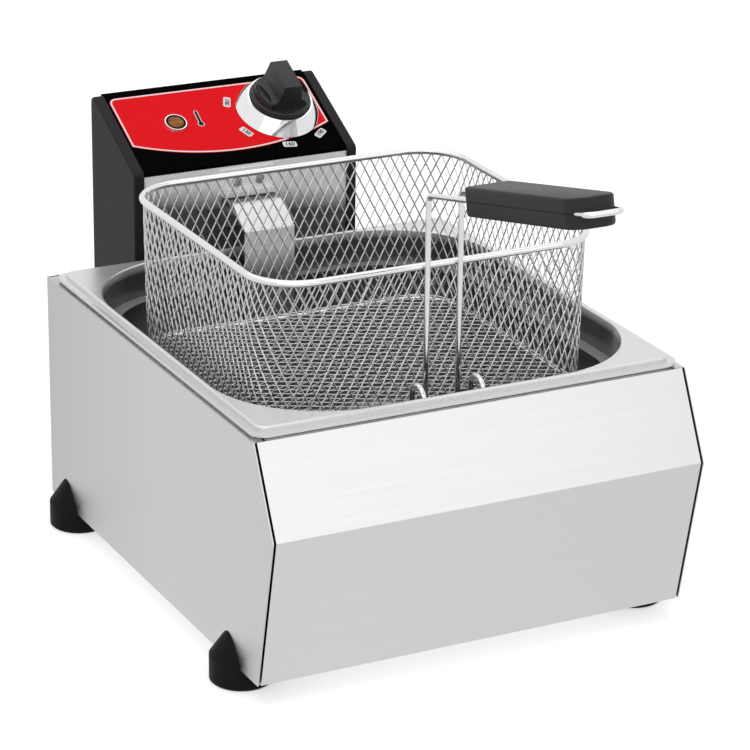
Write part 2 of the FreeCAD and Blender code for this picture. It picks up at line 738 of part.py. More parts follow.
# End caps: moulded plates with a sloping top, hollow towards the head
def head_cap(label, side):
    body = new_body(label)
    front = f"({HEAD_FRONT} - cap_proud)"
    rear = f"({HEAD_REAR} + cap_proud)"
    foot_level = "(head_bottom - cap_proud)"
    lift = "(bend_height + cap_proud / cos(panel_slope))"
    corners = [(front, foot_level), (rear, foot_level),
               (rear, f"{lift} + (head_depth + cap_proud) * tan(panel_slope)"),
               (front, f"{lift} - cap_proud * tan(panel_slope)")]
    start = f"-{plate_half} - cap_thickness" if side < 0 else plate_half
    sketch = outline(new_sketch(body, "YZ_Plane", f"{label}_outline", start), corners)
    pad(body, sketch, "cap_thickness", f"{label}_pad")
    round_edges(body, lambda edge: abs(edge.tangentAt(edge.FirstParameter).x) > 0.99, "cap_corner",
                f"{label}_corners")
    outer_x = amount_of(f"{side} * ({plate_half} + cap_thickness)")
    round_edges(body, lambda edge: all(abs(v.X - outer_x) < 1e-6 for v in edge.Vertexes), "cap_edge",
                f"{label}_edges")
    margin = "cap_wall + cap_proud"
    hollow = [(f"{front} + {margin}", f"{foot_level} + {margin}"),
              (f"{rear} - {margin}", f"{foot_level} + {margin}"),
              (f"{rear} - {margin}", f"{lift} + (head_depth - {margin}) * tan(panel_slope) - 2 * ({margin})"),
              (f"{front} + {margin}", f"{lift} - 2 * ({margin})")]
    level = f"-{plate_half}" if side < 0 else plate_half
    inside = outline(new_sketch(body, "YZ_Plane", f"{label}_hollow", level), hollow)
    recess = pocket(body, inside, "cap_thickness - cap_wall", f"{label}_recess")
    recess.Reversed = side > 0
    return keep(body, label)


head_cap("head_cap_left", -1)
head_cap("head_cap_right", 1)

# Sloping fascia and its printed label, both with openings for the lamp and the thermostat's bush
LAMP_HOLE = "lamp_body_radius + screw_clearance"
BUSH_HOLE = "bush_radius + screw_clearance"
fascia = new_body("control_panel")
fascia_sketch = outline(new_sketch(fascia, "XY_Plane", "fascia_outline", "-fascia_gauge"),
                        [(f"-{plate_half}", "0"), (plate_half, "0"),
                         (plate_half, PANEL_LENGTH), (f"-{plate_half}", PANEL_LENGTH)])
ring(fascia_sketch, *KNOB_AT, BUSH_HOLE)
ring(fascia_sketch, *LAMP_AT, LAMP_HOLE)
pad(fascia, fascia_sketch, "fascia_gauge", "fascia_pad")
keep(place_on_panel(fascia), "control_panel")

# Label outline: straight top and sides, one arc along the bottom
label_body = new_body("panel_label")
label_sketch = new_sketch(label_body, "XY_Plane", "label_outline")
label_half = f"({plate_half} - label_margin)"
label_corners = [(label_half, "label_side_bottom"), (label_half, "label_top"),
                 (f"-{label_half}", "label_top"), (f"-{label_half}", "label_side_bottom")]
label_spots = [point(across, up, "0") for across, up in label_corners]
for start, end in zip(label_spots, label_spots[1:]):
    label_sketch.addGeometry(Part.LineSegment(start, end))
lowest = point("0", "label_middle_bottom", "0")
arc = label_sketch.addGeometry(Part.Arc(label_spots[3], lowest, label_spots[0]))
for index in (0, 1):
    label_sketch.addConstraint(Sketcher.Constraint("Coincident", index, 2, index + 1, 1))
label_sketch.addConstraint(Sketcher.Constraint("Coincident", 2, 2, arc, 1))
label_sketch.addConstraint(Sketcher.Constraint("Coincident", 0, 1, arc, 2))
for index, (across, up) in enumerate(label_corners[:3]):
    tie(label_sketch, index, 1, across, up)
tie(label_sketch, 2, 2, *label_corners[3])
sag = "(label_side_bottom - label_middle_bottom)"
bow = f"({label_half} * {label_half} + {sag} * {sag}) / (2 * {sag})"
rule = label_sketch.addConstraint(Sketcher.Constraint("Radius", arc, amount_of(bow)))
label_sketch.setExpression(f"Constraints[{rule}]", cells(bow))
ring(label_sketch, *KNOB_AT, BUSH_HOLE)
ring(label_sketch, *LAMP_AT, LAMP_HOLE)
pad(label_body, label_sketch, "label_gauge", "label_pad")
label_high = amount_of("label_top")
round_edges(label_body, lambda edge: stands(edge) and abs(edge.Vertexes[0].Y - label_high) < 1e-6,
            "label_corner", "label_corners")
keep(place_on_panel(label_body), "panel_label")

# Dial bezel: conical chrome ring standing on the label round the knob
bezel_inner = "(knob_radius + knob_clearance)"
bezel = lathe("dial_bezel", [(bezel_inner, "0"), ("bezel_radius", "0"), ("bezel_radius", "bezel_foot"),
                             (f"{bezel_inner} + bezel_rim", "bezel_height"), (bezel_inner, "bezel_height")])
keep(place_on_panel(bezel, *KNOB_AT, "label_gauge"), "dial_bezel")

# Knob: round skirt with a raised bar grip and a blind socket for the shaft
knob = lathe("control_knob", [("0", "0"), ("knob_radius", "0"), ("knob_radius", "knob_skirt - bezel_foot"),
                              ("knob_radius - bezel_foot", "knob_skirt"), ("0", "knob_skirt")])
grip_half = "(knob_grip_width / 2)"
grip_end = "(knob_grip_length / 2)"
grip_bar = outline(new_sketch(knob, "XY_Plane", "grip_bar_outline", "knob_skirt / 2"),
                   [(f"-{grip_half}", f"-{grip_end}"), (grip_half, f"-{grip_end}"),
                    (grip_half, grip_end), (f"-{grip_half}", grip_end)])
pad(knob, grip_bar, "knob_height - knob_skirt / 2", "grip_bar")
knob_top = amount_of("knob_height")
round_edges(knob, lambda edge: all(abs(v.Z - knob_top) < 1e-6 for v in edge.Vertexes), "knob_grip_round",
            "grip_bar_rounding")
socket = ring(new_sketch(knob, "XY_Plane", "socket_outline"), "0", "0", "shaft_radius")
hollow = pocket(knob, socket, "knob_socket_depth", "shaft_socket")
hollow.Reversed = True
keep(place_on_panel(knob, *KNOB_AT, "label_gauge + knob_clearance"), "control_knob")

# Thermostat: case behind the fascia with a bush through it, and the shaft that turns in the bush
case_half = "(thermostat_width / 2)"
case_body = new_body("thermostat")
case_sketch = outline(new_sketch(case_body, "XY_Plane", "case_outline", "-fascia_gauge - thermostat_depth"),
                      [(f"-{case_half}", f"-{case_half}"), (case_half, f"-{case_half}"),
                       (case_half, case_half), (f"-{case_half}", case_half)])
pad(case_body, case_sketch, "thermostat_depth", "case")
bush = ring(new_sketch(case_body, "XY_Plane", "bush_outline", "-fascia_gauge"), "0", "0", "bush_radius")
pad(case_body, bush, "fascia_gauge + label_gauge", "bush")
bore = ring(new_sketch(case_body, "XY_Plane", "bore_outline", "label_gauge"), "0", "0",
            "shaft_radius + shaft_fit")
pocket(case_body, bore, "label_gauge + shaft_bury + knob_clearance", "bore")
keep(place_on_panel(case_body, *KNOB_AT), "thermostat")
shaft = bar("thermostat_shaft", "shaft_radius",
            "shaft_bury + label_gauge + knob_clearance + knob_socket_depth")
keep(place_on_panel(shaft, *KNOB_AT, "-shaft_bury"), "thermostat_shaft")

# Pilot lamp: chrome ring, domed lens and the body behind the fascia
lamp_ring = lathe("pilot_lamp_bezel", [("lens_radius", "0"), ("lamp_radius", "0"),
                                       ("lamp_radius - lamp_rim_height / 3", "lamp_rim_height"),
                                       ("lens_radius", "lamp_rim_height")])
keep(place_on_panel(lamp_ring, *LAMP_AT, "label_gauge"), "pilot_lamp_bezel")
lens = lathe("pilot_lamp_lens", [("0", "0"), ("lens_radius", "0"), ("lens_radius", "lens_height / 2"),
                                 ("lens_crown", "lens_height"), ("0", "lens_height")])
keep(place_on_panel(lens, *LAMP_AT, "label_gauge"), "pilot_lamp_lens")
lamp_body = bar("pilot_lamp_body", "lamp_body_radius", "lamp_body_length")
keep(place_on_panel(lamp_body, *LAMP_AT, "label_gauge - lamp_body_length"), "pilot_lamp_body")

# Safety cut-out on the back cover, with a threaded collar round its reset button
reset_out = f"({HEAD_REAR} + reset_collar_length)"
cutout_back = f"({HEAD_REAR} - sheet_gauge)"
cutout_case = block("cutout_case", "-reset_left - cutout_width / 2", f"{cutout_back} - cutout_depth",
                    "reset_height - cutout_width / 2", "-reset_left + cutout_width / 2", cutout_back,
                    "reset_height + cutout_width / 2")
button_bore = "reset_radius + reset_play"
button_room = bar("button_room", button_bore, "cutout_depth", "-reset_left",
                  f"{cutout_back} - cutout_depth / 2", "reset_height", "y")
keep(cut("cutout", cutout_case, button_room), "cutout")
collar_blank = bar("collar_blank", "reset_collar_radius", "reset_collar_length", "-reset_left", HEAD_REAR,
                   "reset_height", "y")
collar_bore = bar("collar_bore", button_bore, "3 * reset_collar_length", "-reset_left",
                  f"{HEAD_REAR} - reset_collar_length", "reset_height", "y")
keep(cut("reset_collar", collar_blank, collar_bore), "reset_collar")
button_start = f"({cutout_back} - cutout_depth / 2 + reset_travel + reset_play)"
keep(bar("reset_button", "reset_radius", f"{reset_out} + reset_proud - {button_start}", "-reset_left",
         button_start, "reset_height", "y"), "reset_button")

# Mains side: terminal block on the floor plate and the gland through the back cover
floor_top = "(head_bottom + 2 * sheet_gauge)"
block_middle = f"{HEAD_REAR} - head_depth / 2"
keep(block("terminal_block", "-block_length / 2", f"{block_middle} - block_width / 2", floor_top,
           "block_length / 2", f"{block_middle} + block_width / 2", f"{floor_top} + block_height"),
     "terminal_block")


# Outer dome or inner nut of the gland, with the cord's bore through it
def gland_piece(label, radius, start, length):
    blank = bar(f"{label}_blank", radius, length, "gland_right", start, "gland_height", "y")
    through = bar(f"{label}_bore", "gland_bore", f"3 * ({length})", "gland_right", f"{start} - ({length})",
                  "gland_height", "y")
    return blank, through


dome, dome_bore = gland_piece("gland_dome", "gland_radius", HEAD_REAR, "gland_length")
thread, thread_bore = gland_piece("gland_thread", "gland_thread_radius",
                                  f"({cutout_back} - gland_nut_thickness)",
                                  "sheet_gauge + gland_nut_thickness")
keep(cut("cable_gland", joined("gland_solid", dome, thread), dome_bore, thread_bore), "cable_gland")
nut_blank = bar("gland_nut_blank", "gland_radius", "gland_nut_thickness", "gland_right",
                f"{cutout_back} - gland_nut_thickness", "gland_height", "y")
nut_bore = bar("gland_nut_bore", "gland_thread_radius", "3 * gland_nut_thickness", "gland_right",
               f"{cutout_back} - 2 * gland_nut_thickness", "gland_height", "y")
keep(cut("gland_nut", nut_blank, nut_bore), "gland_nut")

# Heating element: one tube from the head over the flange, down and through four runs near the tank's floor
ELEMENT_HALF = [
    ("leg_spread / 2", f"{head_back} + 2 * nut_thickness", "leg_height"),
    ("leg_spread / 2", LEG_BACK, "leg_height"),
    ("leg_spread / 2", LEG_BACK, "element_height"),
    ("leg_spread / 2", "element_rear", "element_height"),
    ("outer_run", "element_rear", "element_height"),
    ("outer_run", "-element_front", "element_height"),
    ("inner_run", "-element_front", "element_height"),
    ("inner_run", "element_turn - tube_bend", "element_height"),
]
left_half = [point(f"-({x})", y, z) for x, y, z in ELEMENT_HALF]
right_half = [point(x, y, z) for x, y, z in reversed(ELEMENT_HALF)]
keep(bent_tube("heating_element", left_half + right_half, "tube_bend", "tube_radius"), "heating_element")

# Plate and nuts that clamp the element's legs to the front plate
element_blank = block("element_blank", "-element_plate_width / 2", f"{HEAD_FRONT} - element_plate_gauge",
                      "leg_height - element_plate_height / 2", "element_plate_width / 2", HEAD_FRONT,
                      "leg_height + element_plate_height / 2")
keep(cut("element_plate", element_blank, *leg_openings("element_plate_leg")), "element_plate")


def element_nut(label, x):
    blank = bar(f"{label}_blank", "nut_radius", "nut_thickness", x, head_back, "leg_height", "y")
    through = bar(f"{label}_bore", "tube_radius", "3 * nut_thickness", x, f"{head_back} - nut_thickness",
                  "leg_height", "y")
    return cut(label, blank, through)


keep(group("element_nuts", [element_nut("element_nut_left", "-leg_spread / 2"),
                            element_nut("element_nut_right", "leg_spread / 2")]), "element_nuts")

# Guard: strip bent over the flange and down in front of the element's legs
guard_front = "(mouth_length / 2 - guard_clear)"
shelf_end = f"({HEAD_FRONT} - guard_shelf)"
shoulder = "(guard_root_height - guard_shoulder)"
keep(prism(
    "element_guard", "YZ_Plane",
    [(HEAD_FRONT, "guard_root_height"), (shelf_end, "guard_root_height"), (guard_front, shoulder),
     (guard_front, "guard_foot"), (f"{guard_front} + guard_gauge", "guard_foot"),
     (f"{guard_front} + guard_gauge", f"{shoulder} - guard_gauge / 2"),
     (f"{shelf_end} + guard_gauge / 2", "guard_root_height - guard_gauge"),
     (HEAD_FRONT, "guard_root_height - guard_gauge")],
    "-guard_width / 2", "guard_width"), "element_guard")

# Sensing bulb held upright behind the guard, and the capillary up to the thermostat
bulb_y = f"({guard_front} + guard_gauge + bulb_radius)"
bulb_top = "(bulb_foot + bulb_length)"
keep(bar("thermostat_bulb", "bulb_radius", "bulb_length", "0", bulb_y, "bulb_foot"), "thermostat_bulb")
CAPILLARY_DEPTH = "(fascia_gauge + thermostat_depth + capillary_radius / 2)"
capillary_route = [
    point("0", bulb_y, bulb_top),
    point("0", bulb_y, "leg_height"),
    point("0", f"{head_back} + 4 * nut_thickness", "leg_height"),
    point("knob_right", f"{head_back} + 4 * nut_thickness", "leg_height"),
    point("knob_right", f"{HEAD_FRONT} + knob_up * cos(panel_slope) "
          f"+ {CAPILLARY_DEPTH} * sin(panel_slope)",
          f"bend_height + knob_up * sin(panel_slope) - {CAPILLARY_DEPTH} * cos(panel_slope)"),
]
keep(bent_tube("thermostat_capillary", capillary_route, "5 * capillary_radius", "capillary_radius"),
     "thermostat_capillary")
clip_y = f"{guard_front} + guard_gauge"
clip_half = "(leg_spread / 2 - tube_radius - tube_hole_gap)"
clip_blank = block("clip_blank", f"-{clip_half}", clip_y, "bulb_foot + bulb_length / 2", clip_half,
                   f"{clip_y} + 2 * bulb_radius + guard_gauge", "bulb_foot + bulb_length / 2 + clip_height")
clip_bore = bar("clip_bore", "bulb_radius + screw_clearance", "bulb_length", "0", bulb_y, "bulb_foot")
keep(cut("bulb_clip", clip_blank, clip_bore), "bulb_clip")

# Basket hanger on the head's front: plate with an upturned lip, and its two screws
hook_face = f"({HEAD_FRONT} - hook_gauge)"
hook_blank = prism(
    "hook_blank", "YZ_Plane",
    [(HEAD_FRONT, "hook_bottom"), (HEAD_FRONT, "hook_top"), (hook_face, "hook_top"),
     (hook_face, "hook_bottom + hook_gauge"), (f"{hook_face} - hook_lip", "hook_bottom + hook_gauge"),
     (f"{hook_face} - hook_lip", "hook_bottom + hook_lip_rise"),
     (f"{hook_face} - hook_lip - hook_gauge", "hook_bottom + hook_lip_rise"),
     (f"{hook_face} - hook_lip - hook_gauge", "hook_bottom")],
    "-hook_width / 2", "hook_width")
HOOK_SIDES = (("left", "-hook_screw_spread / 2"), ("right", "hook_screw_spread / 2"))
hook_holes = [bar(f"hook_hole_{name}", SCREW_HOLE, "3 * hook_gauge", x, f"{HEAD_FRONT} - 2 * hook_gauge",
                  "hook_screw_height", "y") for name, x in HOOK_SIDES]
keep(cut("hook_plate", hook_blank, *hook_holes), "hook_plate")
keep(group("hook_plate_screws", [
    screw(f"hook_screw_{name}", x, f"{hook_face} - screw_head_height", "hook_screw_height", "hook_gauge", "y")
    for name, x in HOOK_SIDES]), "hook_plate_screws")


# Basket wires: rounded rectangle of wire lying level, closed on itself
def wire_ring(label, half_x, half_y, level, corner, radius):
    low = f"rim_centre - ({half_y})"
    high = f"rim_centre + ({half_y})"
    corners = [point(half_x, low, level), point(half_x, high, level),
               point(f"-({half_x})", high, level), point(f"-({half_x})", low, level)]
    return keep(bent_tube(label, corners, corner, radius, closed=True), label)


wire_ring("basket_rim", "rim_width / 2", "rim_length / 2", "rim_height", "rim_corner", "rim_wire")
base_inset = "(basket_taper + mesh_gauge + base_wire)"
wire_ring("basket_base_wire", f"rim_width / 2 - {base_inset}", f"rim_length / 2 - {base_inset}",
          f"{BASKET_FLOOR} - base_wire", "rim_corner - basket_taper", "base_wire")


# Level outline of the basket: narrower by an inset than the rim wire's middle
def basket_outline(body, name, level, inset):
    sketch = new_sketch(body, "XY_Plane", name, level)
    return rounded(sketch, f"rim_width / 2 - ({inset})", f"rim_length / 2 - ({inset})",
                   f"rim_corner - ({inset})", "rim_centre")


# Evenly spaced gaps between bars over a span: their starts and ends
def gaps_between_bars(count, middle, span):
    pitch = f"({span}) / {count}"
    starts = [f"({middle}) - ({span}) / 2 + {step} * {pitch} + mesh_bar / 2" for step in range(count)]
    return [(start, f"{start} + {pitch} - mesh_bar") for start in starts]


# Basket walls: tapered mesh wall as a thin shell, open at the top and bottom
walls = new_body("basket_shell")
wall_top = "(rim_height - rim_wire)"
outer_loft = walls.newObject("PartDesign::AdditiveLoft", "wall_outside")
outer_loft.Profile = basket_outline(walls, "outer_foot", BASKET_FLOOR, "basket_taper")
outer_loft.Sections = [basket_outline(walls, "outer_brim", wall_top, "0")]
outer_loft.Ruled = True
inner_loft = walls.newObject("PartDesign::SubtractiveLoft", "wall_inside")
inner_loft.Profile = basket_outline(walls, "inner_foot", BASKET_FLOOR, "basket_taper + mesh_gauge")
inner_loft.Sections = [basket_outline(walls, "inner_brim", wall_top, "mesh_gauge")]
inner_loft.Ruled = True

# Mesh openings: level bars through the front and rear walls, then through both side walls
MESH_COLUMNS = 12
MESH_ROWS = 6
mesh_rows = gaps_between_bars(MESH_ROWS, f"({BASKET_FLOOR} + {wall_top}) / 2",
                              f"{wall_top} - {BASKET_FLOOR} - 2 * mesh_margin")
mesh_columns = gaps_between_bars(MESH_COLUMNS, "0", "rim_width - 2 * rim_corner")
mesh_ranks = gaps_between_bars(MESH_COLUMNS - 1, "rim_centre", "rim_length - 2 * rim_corner")
front_openings = [
    block(f"front_opening_{column}_{row}",
          left, "rim_centre - rim_length", low, right, "rim_centre + rim_length", high)
    for column, (left, right) in enumerate(mesh_columns) for row, (low, high) in enumerate(mesh_rows)]
side_openings = [
    block(f"side_opening_{rank}_{row}", "-rim_width", near, low, "rim_width", far, high)
    for rank, (near, far) in enumerate(mesh_ranks) for row, (low, high) in enumerate(mesh_rows)]
opened = cut("walls_opened", walls, group("front_openings", front_openings))
keep(cut("basket_walls", opened, group("side_openings", side_openings)), "basket_walls")

# Basket floor: flat mesh sheet on the base wire
floor_body = new_body("floor_sheet")
floor_sketch = basket_outline(floor_body, "floor_outline", BASKET_FLOOR,
                              "basket_taper + mesh_gauge + floor_gap")
pad(floor_body, floor_sketch, "mesh_gauge", "floor_pad")
floor_inset = "2 * (basket_taper + mesh_edge)"
floor_columns = gaps_between_bars(MESH_COLUMNS, "0", f"rim_width - {floor_inset}")
floor_ranks = gaps_between_bars(MESH_COLUMNS - 1, "rim_centre", f"rim_length - {floor_inset}")
floor_openings = [
    block(f"floor_opening_{column}_{rank}", left, near, f"{BASKET_FLOOR} - mesh_gauge", right, far,
          f"{BASKET_FLOOR} + 2 * mesh_gauge")
    for column, (left, right) in enumerate(floor_columns) for rank, (near, far) in enumerate(floor_ranks)]
keep(cut("basket_floor", floor_body, group("floor_openings", floor_openings)), "basket_floor")

# Handle wire: from the base wire up both rods, forward through the grip and round the hanging loop
loop_y = f"{ROD_FRONT} - handle_reach * cos(handle_tilt)"
loop_z = f"{HANDLE_TOP} + handle_reach * sin(handle_tilt)"
foot_z = f"{BASKET_FLOOR} - base_wire"
handle_side = [(WIRE_FRONT, foot_z), (ROD_FRONT, foot_z), (ROD_FRONT, HANDLE_TOP), (loop_y, loop_z)]
handle_route = [point("-handle_spread / 2", y, z) for y, z in handle_side]
handle_route += [point("handle_spread / 2", y, z) for y, z in reversed(handle_side)]
keep(bent_tube("handle_wire", handle_route, "handle_bend", "handle_wire_radius"), "handle_wire")


# Places an upright bar in the handle's own frame: along the tilted wire and up from its middle
def place_on_handle(item, along, up):
    y = f"{ROD_FRONT} - ({along}) * cos(handle_tilt) + ({up}) * sin(handle_tilt)"
    z = f"{HANDLE_TOP} + ({along}) * sin(handle_tilt) + ({up}) * cos(handle_tilt)"
    return place(item, "0", y, z, (-1, 0, 0), "handle_tilt")


# Stepped bar for each grip screw: head at the grip's underside, shank up into the upper half
def grip_screw_bars(label, head_radius, shank_radius):
    bars = []
    for name, along in GRIP_SCREWS:
        head = bar(f"{label}_{name}_head", head_radius, "screw_head_height")
        shank = bar(f"{label}_{name}_shank", shank_radius, "grip_screw_length")
        place_on_handle(head, along, "-grip_height / 2")
        place_on_handle(shank, along, "screw_head_height - grip_height / 2")
        bars.append(joined(f"{label}_{name}", head, shank))
    return bars


GRIP_SCREWS = (("rear", "grip_start + grip_screw_inset"),
               ("front", "grip_start + grip_length - grip_screw_inset"))


# Grip halves: rounded bar split along the wire, grooved for both rods, front corners well rounded
def grip_half_body(label, start):
    body = new_body(f"{label}_blank")
    sketch = outline(new_sketch(body, "XY_Plane", f"{label}_outline", start),
                     [("-grip_width / 2", "-grip_start"), ("-grip_width / 2", "-grip_start - grip_length"),
                      ("grip_width / 2", "-grip_start - grip_length"), ("grip_width / 2", "-grip_start")])
    pad(body, sketch, "grip_height / 2", f"{label}_pad")
    front = amount_of("-grip_start - grip_length")
    round_edges(body, lambda edge: stands(edge) and abs(edge.Vertexes[0].Y - front) < 1e-6, "grip_corner",
                f"{label}_front_corners")
    rear = amount_of("-grip_start")
    round_edges(body, lambda edge: stands(edge) and abs(edge.Vertexes[0].Y - rear) < 1e-6, "grip_rear_corner",
                f"{label}_rear_corners")
    outside = max((amount_of(start), amount_of(start) + amount_of("grip_height / 2")), key=abs)
    round_edges(body, lambda edge: all(abs(v.Z - outside) < 1e-6 for v in edge.Vertexes), "grip_edge",
                f"{label}_edges")
    place(body, "0", ROD_FRONT, HANDLE_TOP, (-1, 0, 0), "handle_tilt")
    channel = bent_tube(f"{label}_channel", handle_route, "handle_bend",
                        "handle_wire_radius + grip_channel_gap")
    holes = grip_screw_bars(f"{label}_screw_hole", "screw_head_radius + screw_clearance", SCREW_HOLE)
    return cut(label, body, channel, *holes)


keep(grip_half_body("grip_upper", "0"), "grip_upper")
keep(grip_half_body("grip_lower", "-grip_height / 2"), "grip_lower")
keep(group("grip_screws", grip_screw_bars("grip_screw", "screw_head_radius", "screw_radius")), "grip_screws")


# Drain hook: wire arch in front of the basket whose toe stands on the tank's front ledge
def drain_hook(label, side):
    x = f"{side} * hook_spread / 2"
    top = "hook_apex - handle_wire_radius"
    toe_z = f"{LEDGE} + seat_gap + handle_wire_radius"
    hook_y = f"({ROD_FRONT} - hook_span)"
    corners = [point(x, WIRE_FRONT, foot_z), point(x, ROD_FRONT, foot_z), point(x, ROD_FRONT, top),
               point(x, hook_y, top), point(x, hook_y, toe_z), point(x, f"{hook_y} - hook_toe", toe_z)]
    arch = amount_of("hook_arch")
    turn = amount_of("hook_bend")
    return keep(bent_tube(label, corners, "hook_bend", "handle_wire_radius",
                          bends=[0, turn, arch, arch, turn, 0]), label)


drain_hook("drain_hook_left", -1)
drain_hook("drain_hook_right", 1)

# Every piece is sound before it is written out
doc.recompute()
for item in doc.Objects:
    if "Invalid" in item.State or "Error" in item.State:
        raise RuntimeError(f"{item.Label} could not be built: {item.State}")
os.makedirs("parts", exist_ok=True)
setback = point("0", "tank_setback", "0")
for item in parts:
    shape = item.Shape.copy()
    if shape.isNull() or not shape.isValid() or not shape.Solids:
        raise RuntimeError(f"{item.Label} is not a sound solid")
    shape.translate(setback)
    shape.exportStep(f"parts/{item.Label}.step")
    print(f"{item.Label}: {len(shape.Solids)} solid(s), {shape.Volume / 1000:.2f} cm3")
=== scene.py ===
# %% [markdown]
# # Countertop deep fryer
# The solids of the fryer come in as a fixed frame, already in metres and in their places. This lesson gives
# them their finishes and models the pieces that need more than a plain solid: the wire mesh of the basket,
# the printed label, the dial knob and the two halves of the grip.

# %% Load the frame
import bmesh
import bpy
import json
import math
from mathutils import Matrix, Vector


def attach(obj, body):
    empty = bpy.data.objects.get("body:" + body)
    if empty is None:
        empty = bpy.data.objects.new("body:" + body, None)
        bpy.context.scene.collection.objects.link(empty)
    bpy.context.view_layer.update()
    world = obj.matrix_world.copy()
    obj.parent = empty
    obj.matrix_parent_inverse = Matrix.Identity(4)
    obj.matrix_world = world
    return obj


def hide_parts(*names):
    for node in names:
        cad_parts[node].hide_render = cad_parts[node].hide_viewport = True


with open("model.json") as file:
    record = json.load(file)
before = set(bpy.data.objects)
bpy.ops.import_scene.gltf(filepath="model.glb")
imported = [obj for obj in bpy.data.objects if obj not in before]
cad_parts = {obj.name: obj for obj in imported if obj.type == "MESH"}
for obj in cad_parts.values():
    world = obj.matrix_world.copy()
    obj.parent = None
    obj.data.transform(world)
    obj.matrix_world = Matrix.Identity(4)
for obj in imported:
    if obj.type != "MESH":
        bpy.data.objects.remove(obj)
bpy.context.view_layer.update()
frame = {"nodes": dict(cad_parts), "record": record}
nodes = frame["nodes"]

# %% [markdown]
# ## Camera
# A product picture is taken with a long lens from a couple of metres away, so lines stay nearly parallel.
# The camera could be aimed with a constraint, but a small roll is easier to add by hand, so it is turned in
# three plain steps: round the upright axis, down towards the table, and the roll.

# %% Camera
CAMERA_PLACE = (-0.98123, -1.91517, 0.97982)
CAMERA_TURN = math.radians(27.16)
CAMERA_DIP = math.radians(20.91)
CAMERA_ROLL = math.radians(0.76)
LENS_MM = 154.71
SENSOR_MM = 36.0
CAMERA_REACH = 50.0

camera_data = bpy.data.cameras.new("product_camera")
camera_data.lens = LENS_MM
camera_data.sensor_width = SENSOR_MM
camera_data.clip_end = CAMERA_REACH
camera = bpy.data.objects.new("product_camera", camera_data)
bpy.context.scene.collection.objects.link(camera)
camera.matrix_world = (
    Matrix.Translation(CAMERA_PLACE)
    @ Matrix.Rotation(-CAMERA_TURN, 4, "Z")
    @ Matrix.Rotation(math.pi / 2 - CAMERA_DIP, 4, "X")
    @ Matrix.Rotation(CAMERA_ROLL, 4, "Z")
)
bpy.context.scene.camera = camera
print("camera at", CAMERA_PLACE)

# %% [markdown]
# ## Tools for every step
# An operator works on whatever is selected, so each new piece starts from an empty selection. Small helpers
# keep the steps short: some select and name, some work in edit mode, and some finish a piece. A finished
# place always goes into the mesh, so that the object itself stays at the origin.


# %% Helpers that select and name
def clear_selection():
    if bpy.context.object and bpy.context.object.mode != "OBJECT":
        bpy.ops.object.mode_set(mode="OBJECT")
    bpy.ops.object.select_all(action="DESELECT")


def named(name):
    piece = bpy.context.object
    piece.name = name
    piece.data.name = name
    return piece


def only(piece):
    clear_selection()
    piece.select_set(True)
    bpy.context.view_layer.objects.active = piece
    return piece


print("selection helpers ready")


# %% Helpers for edit mode
SAME_PLACE = 1e-5


def edit(piece, kind="FACE"):
    only(piece)
    bpy.ops.object.mode_set(mode="EDIT")
    bpy.ops.mesh.select_mode(type=kind)
    return bmesh.from_edit_mesh(piece.data)


def pick(piece, shape, test):
    bpy.ops.mesh.select_all(action="DESELECT")
    mesh = bmesh.from_edit_mesh(piece.data)
    found = [item for item in getattr(mesh, shape) if test(item)]
    for item in found:
        item.select_set(True)
    mesh.select_flush_mode()
    bmesh.update_edit_mesh(piece.data)
    return len(found)


def round_edges(piece, rounding, test):
    width, steps = rounding  # in metres, and how many faces make the curve
    pick(piece, "edges", test)
    bpy.ops.mesh.bevel(offset=width, segments=steps, affect="EDGES")


def round_corners(width, steps):
    bpy.ops.mesh.bevel(offset=width, offset_type="OFFSET", segments=steps, affect="VERTICES")


def middle(edge):
    return (edge.verts[0].co + edge.verts[1].co) / 2


def done():
    bpy.ops.object.mode_set(mode="OBJECT")


print("points closer than", SAME_PLACE, "m count as one place")


# %% Helpers that finish a piece
SMOOTH_ANGLE = math.radians(35)


def settle(piece):
    only(piece)
    bpy.ops.object.transform_apply(location=True, rotation=True, scale=True)
    return piece


def apply_modifier(piece, kind, **settings):
    only(piece)
    modifier = piece.modifiers.new(kind.lower(), kind)
    for key, value in settings.items():
        setattr(modifier, key, value)
    bpy.ops.object.modifier_apply(modifier=modifier.name)
    return piece


def carve(piece, tool, operation="DIFFERENCE"):
    apply_modifier(piece, "BOOLEAN", object=tool, operation=operation, solver="EXACT")
    bpy.data.objects.remove(tool)
    return piece


def joined(name, *pieces):
    clear_selection()
    for piece in pieces:
        piece.select_set(True)
    bpy.context.view_layer.objects.active = pieces[0]
    bpy.ops.object.join()
    return named(name)


def smooth(piece):
    only(piece)
    bpy.ops.object.shade_smooth_by_angle(angle=SMOOTH_ANGLE)
    return piece


print("edges flatter than", round(math.degrees(SMOOTH_ANGLE)), "degrees are shaded smooth")

# %% [markdown]
# ## Studio world
# A product picture has a white background. A bright world would give one, but it would flood the steel with
# light too. A Light Path node knows who is looking: camera, mirrors and glass see pure white, and as light
# on the object the same world is weaker, so the steel keeps its grey.


# %% Node helpers
def link_nodes(tree, *pairs):
    for start, end in pairs:
        tree.links.new(start, end)


def combined(tree, operation, first, second):
    result = tree.nodes.new("ShaderNodeMath")
    result.operation = operation
    for socket, value in zip(result.inputs, (first, second)):
        if isinstance(value, float):
            socket.default_value = value
        else:
            tree.links.new(value, socket)
    return result.outputs[0]


def rescaled(tree, source, start, end, low=0.0, high=1.0):
    span = tree.nodes.new("ShaderNodeMapRange")
    limits = (("From Min", start), ("From Max", end), ("To Min", low), ("To Max", high))
    for socket, value in limits:
        span.inputs[socket].default_value = value
    tree.links.new(source, span.inputs["Value"])
    return span.outputs["Result"]


print("node helpers ready")

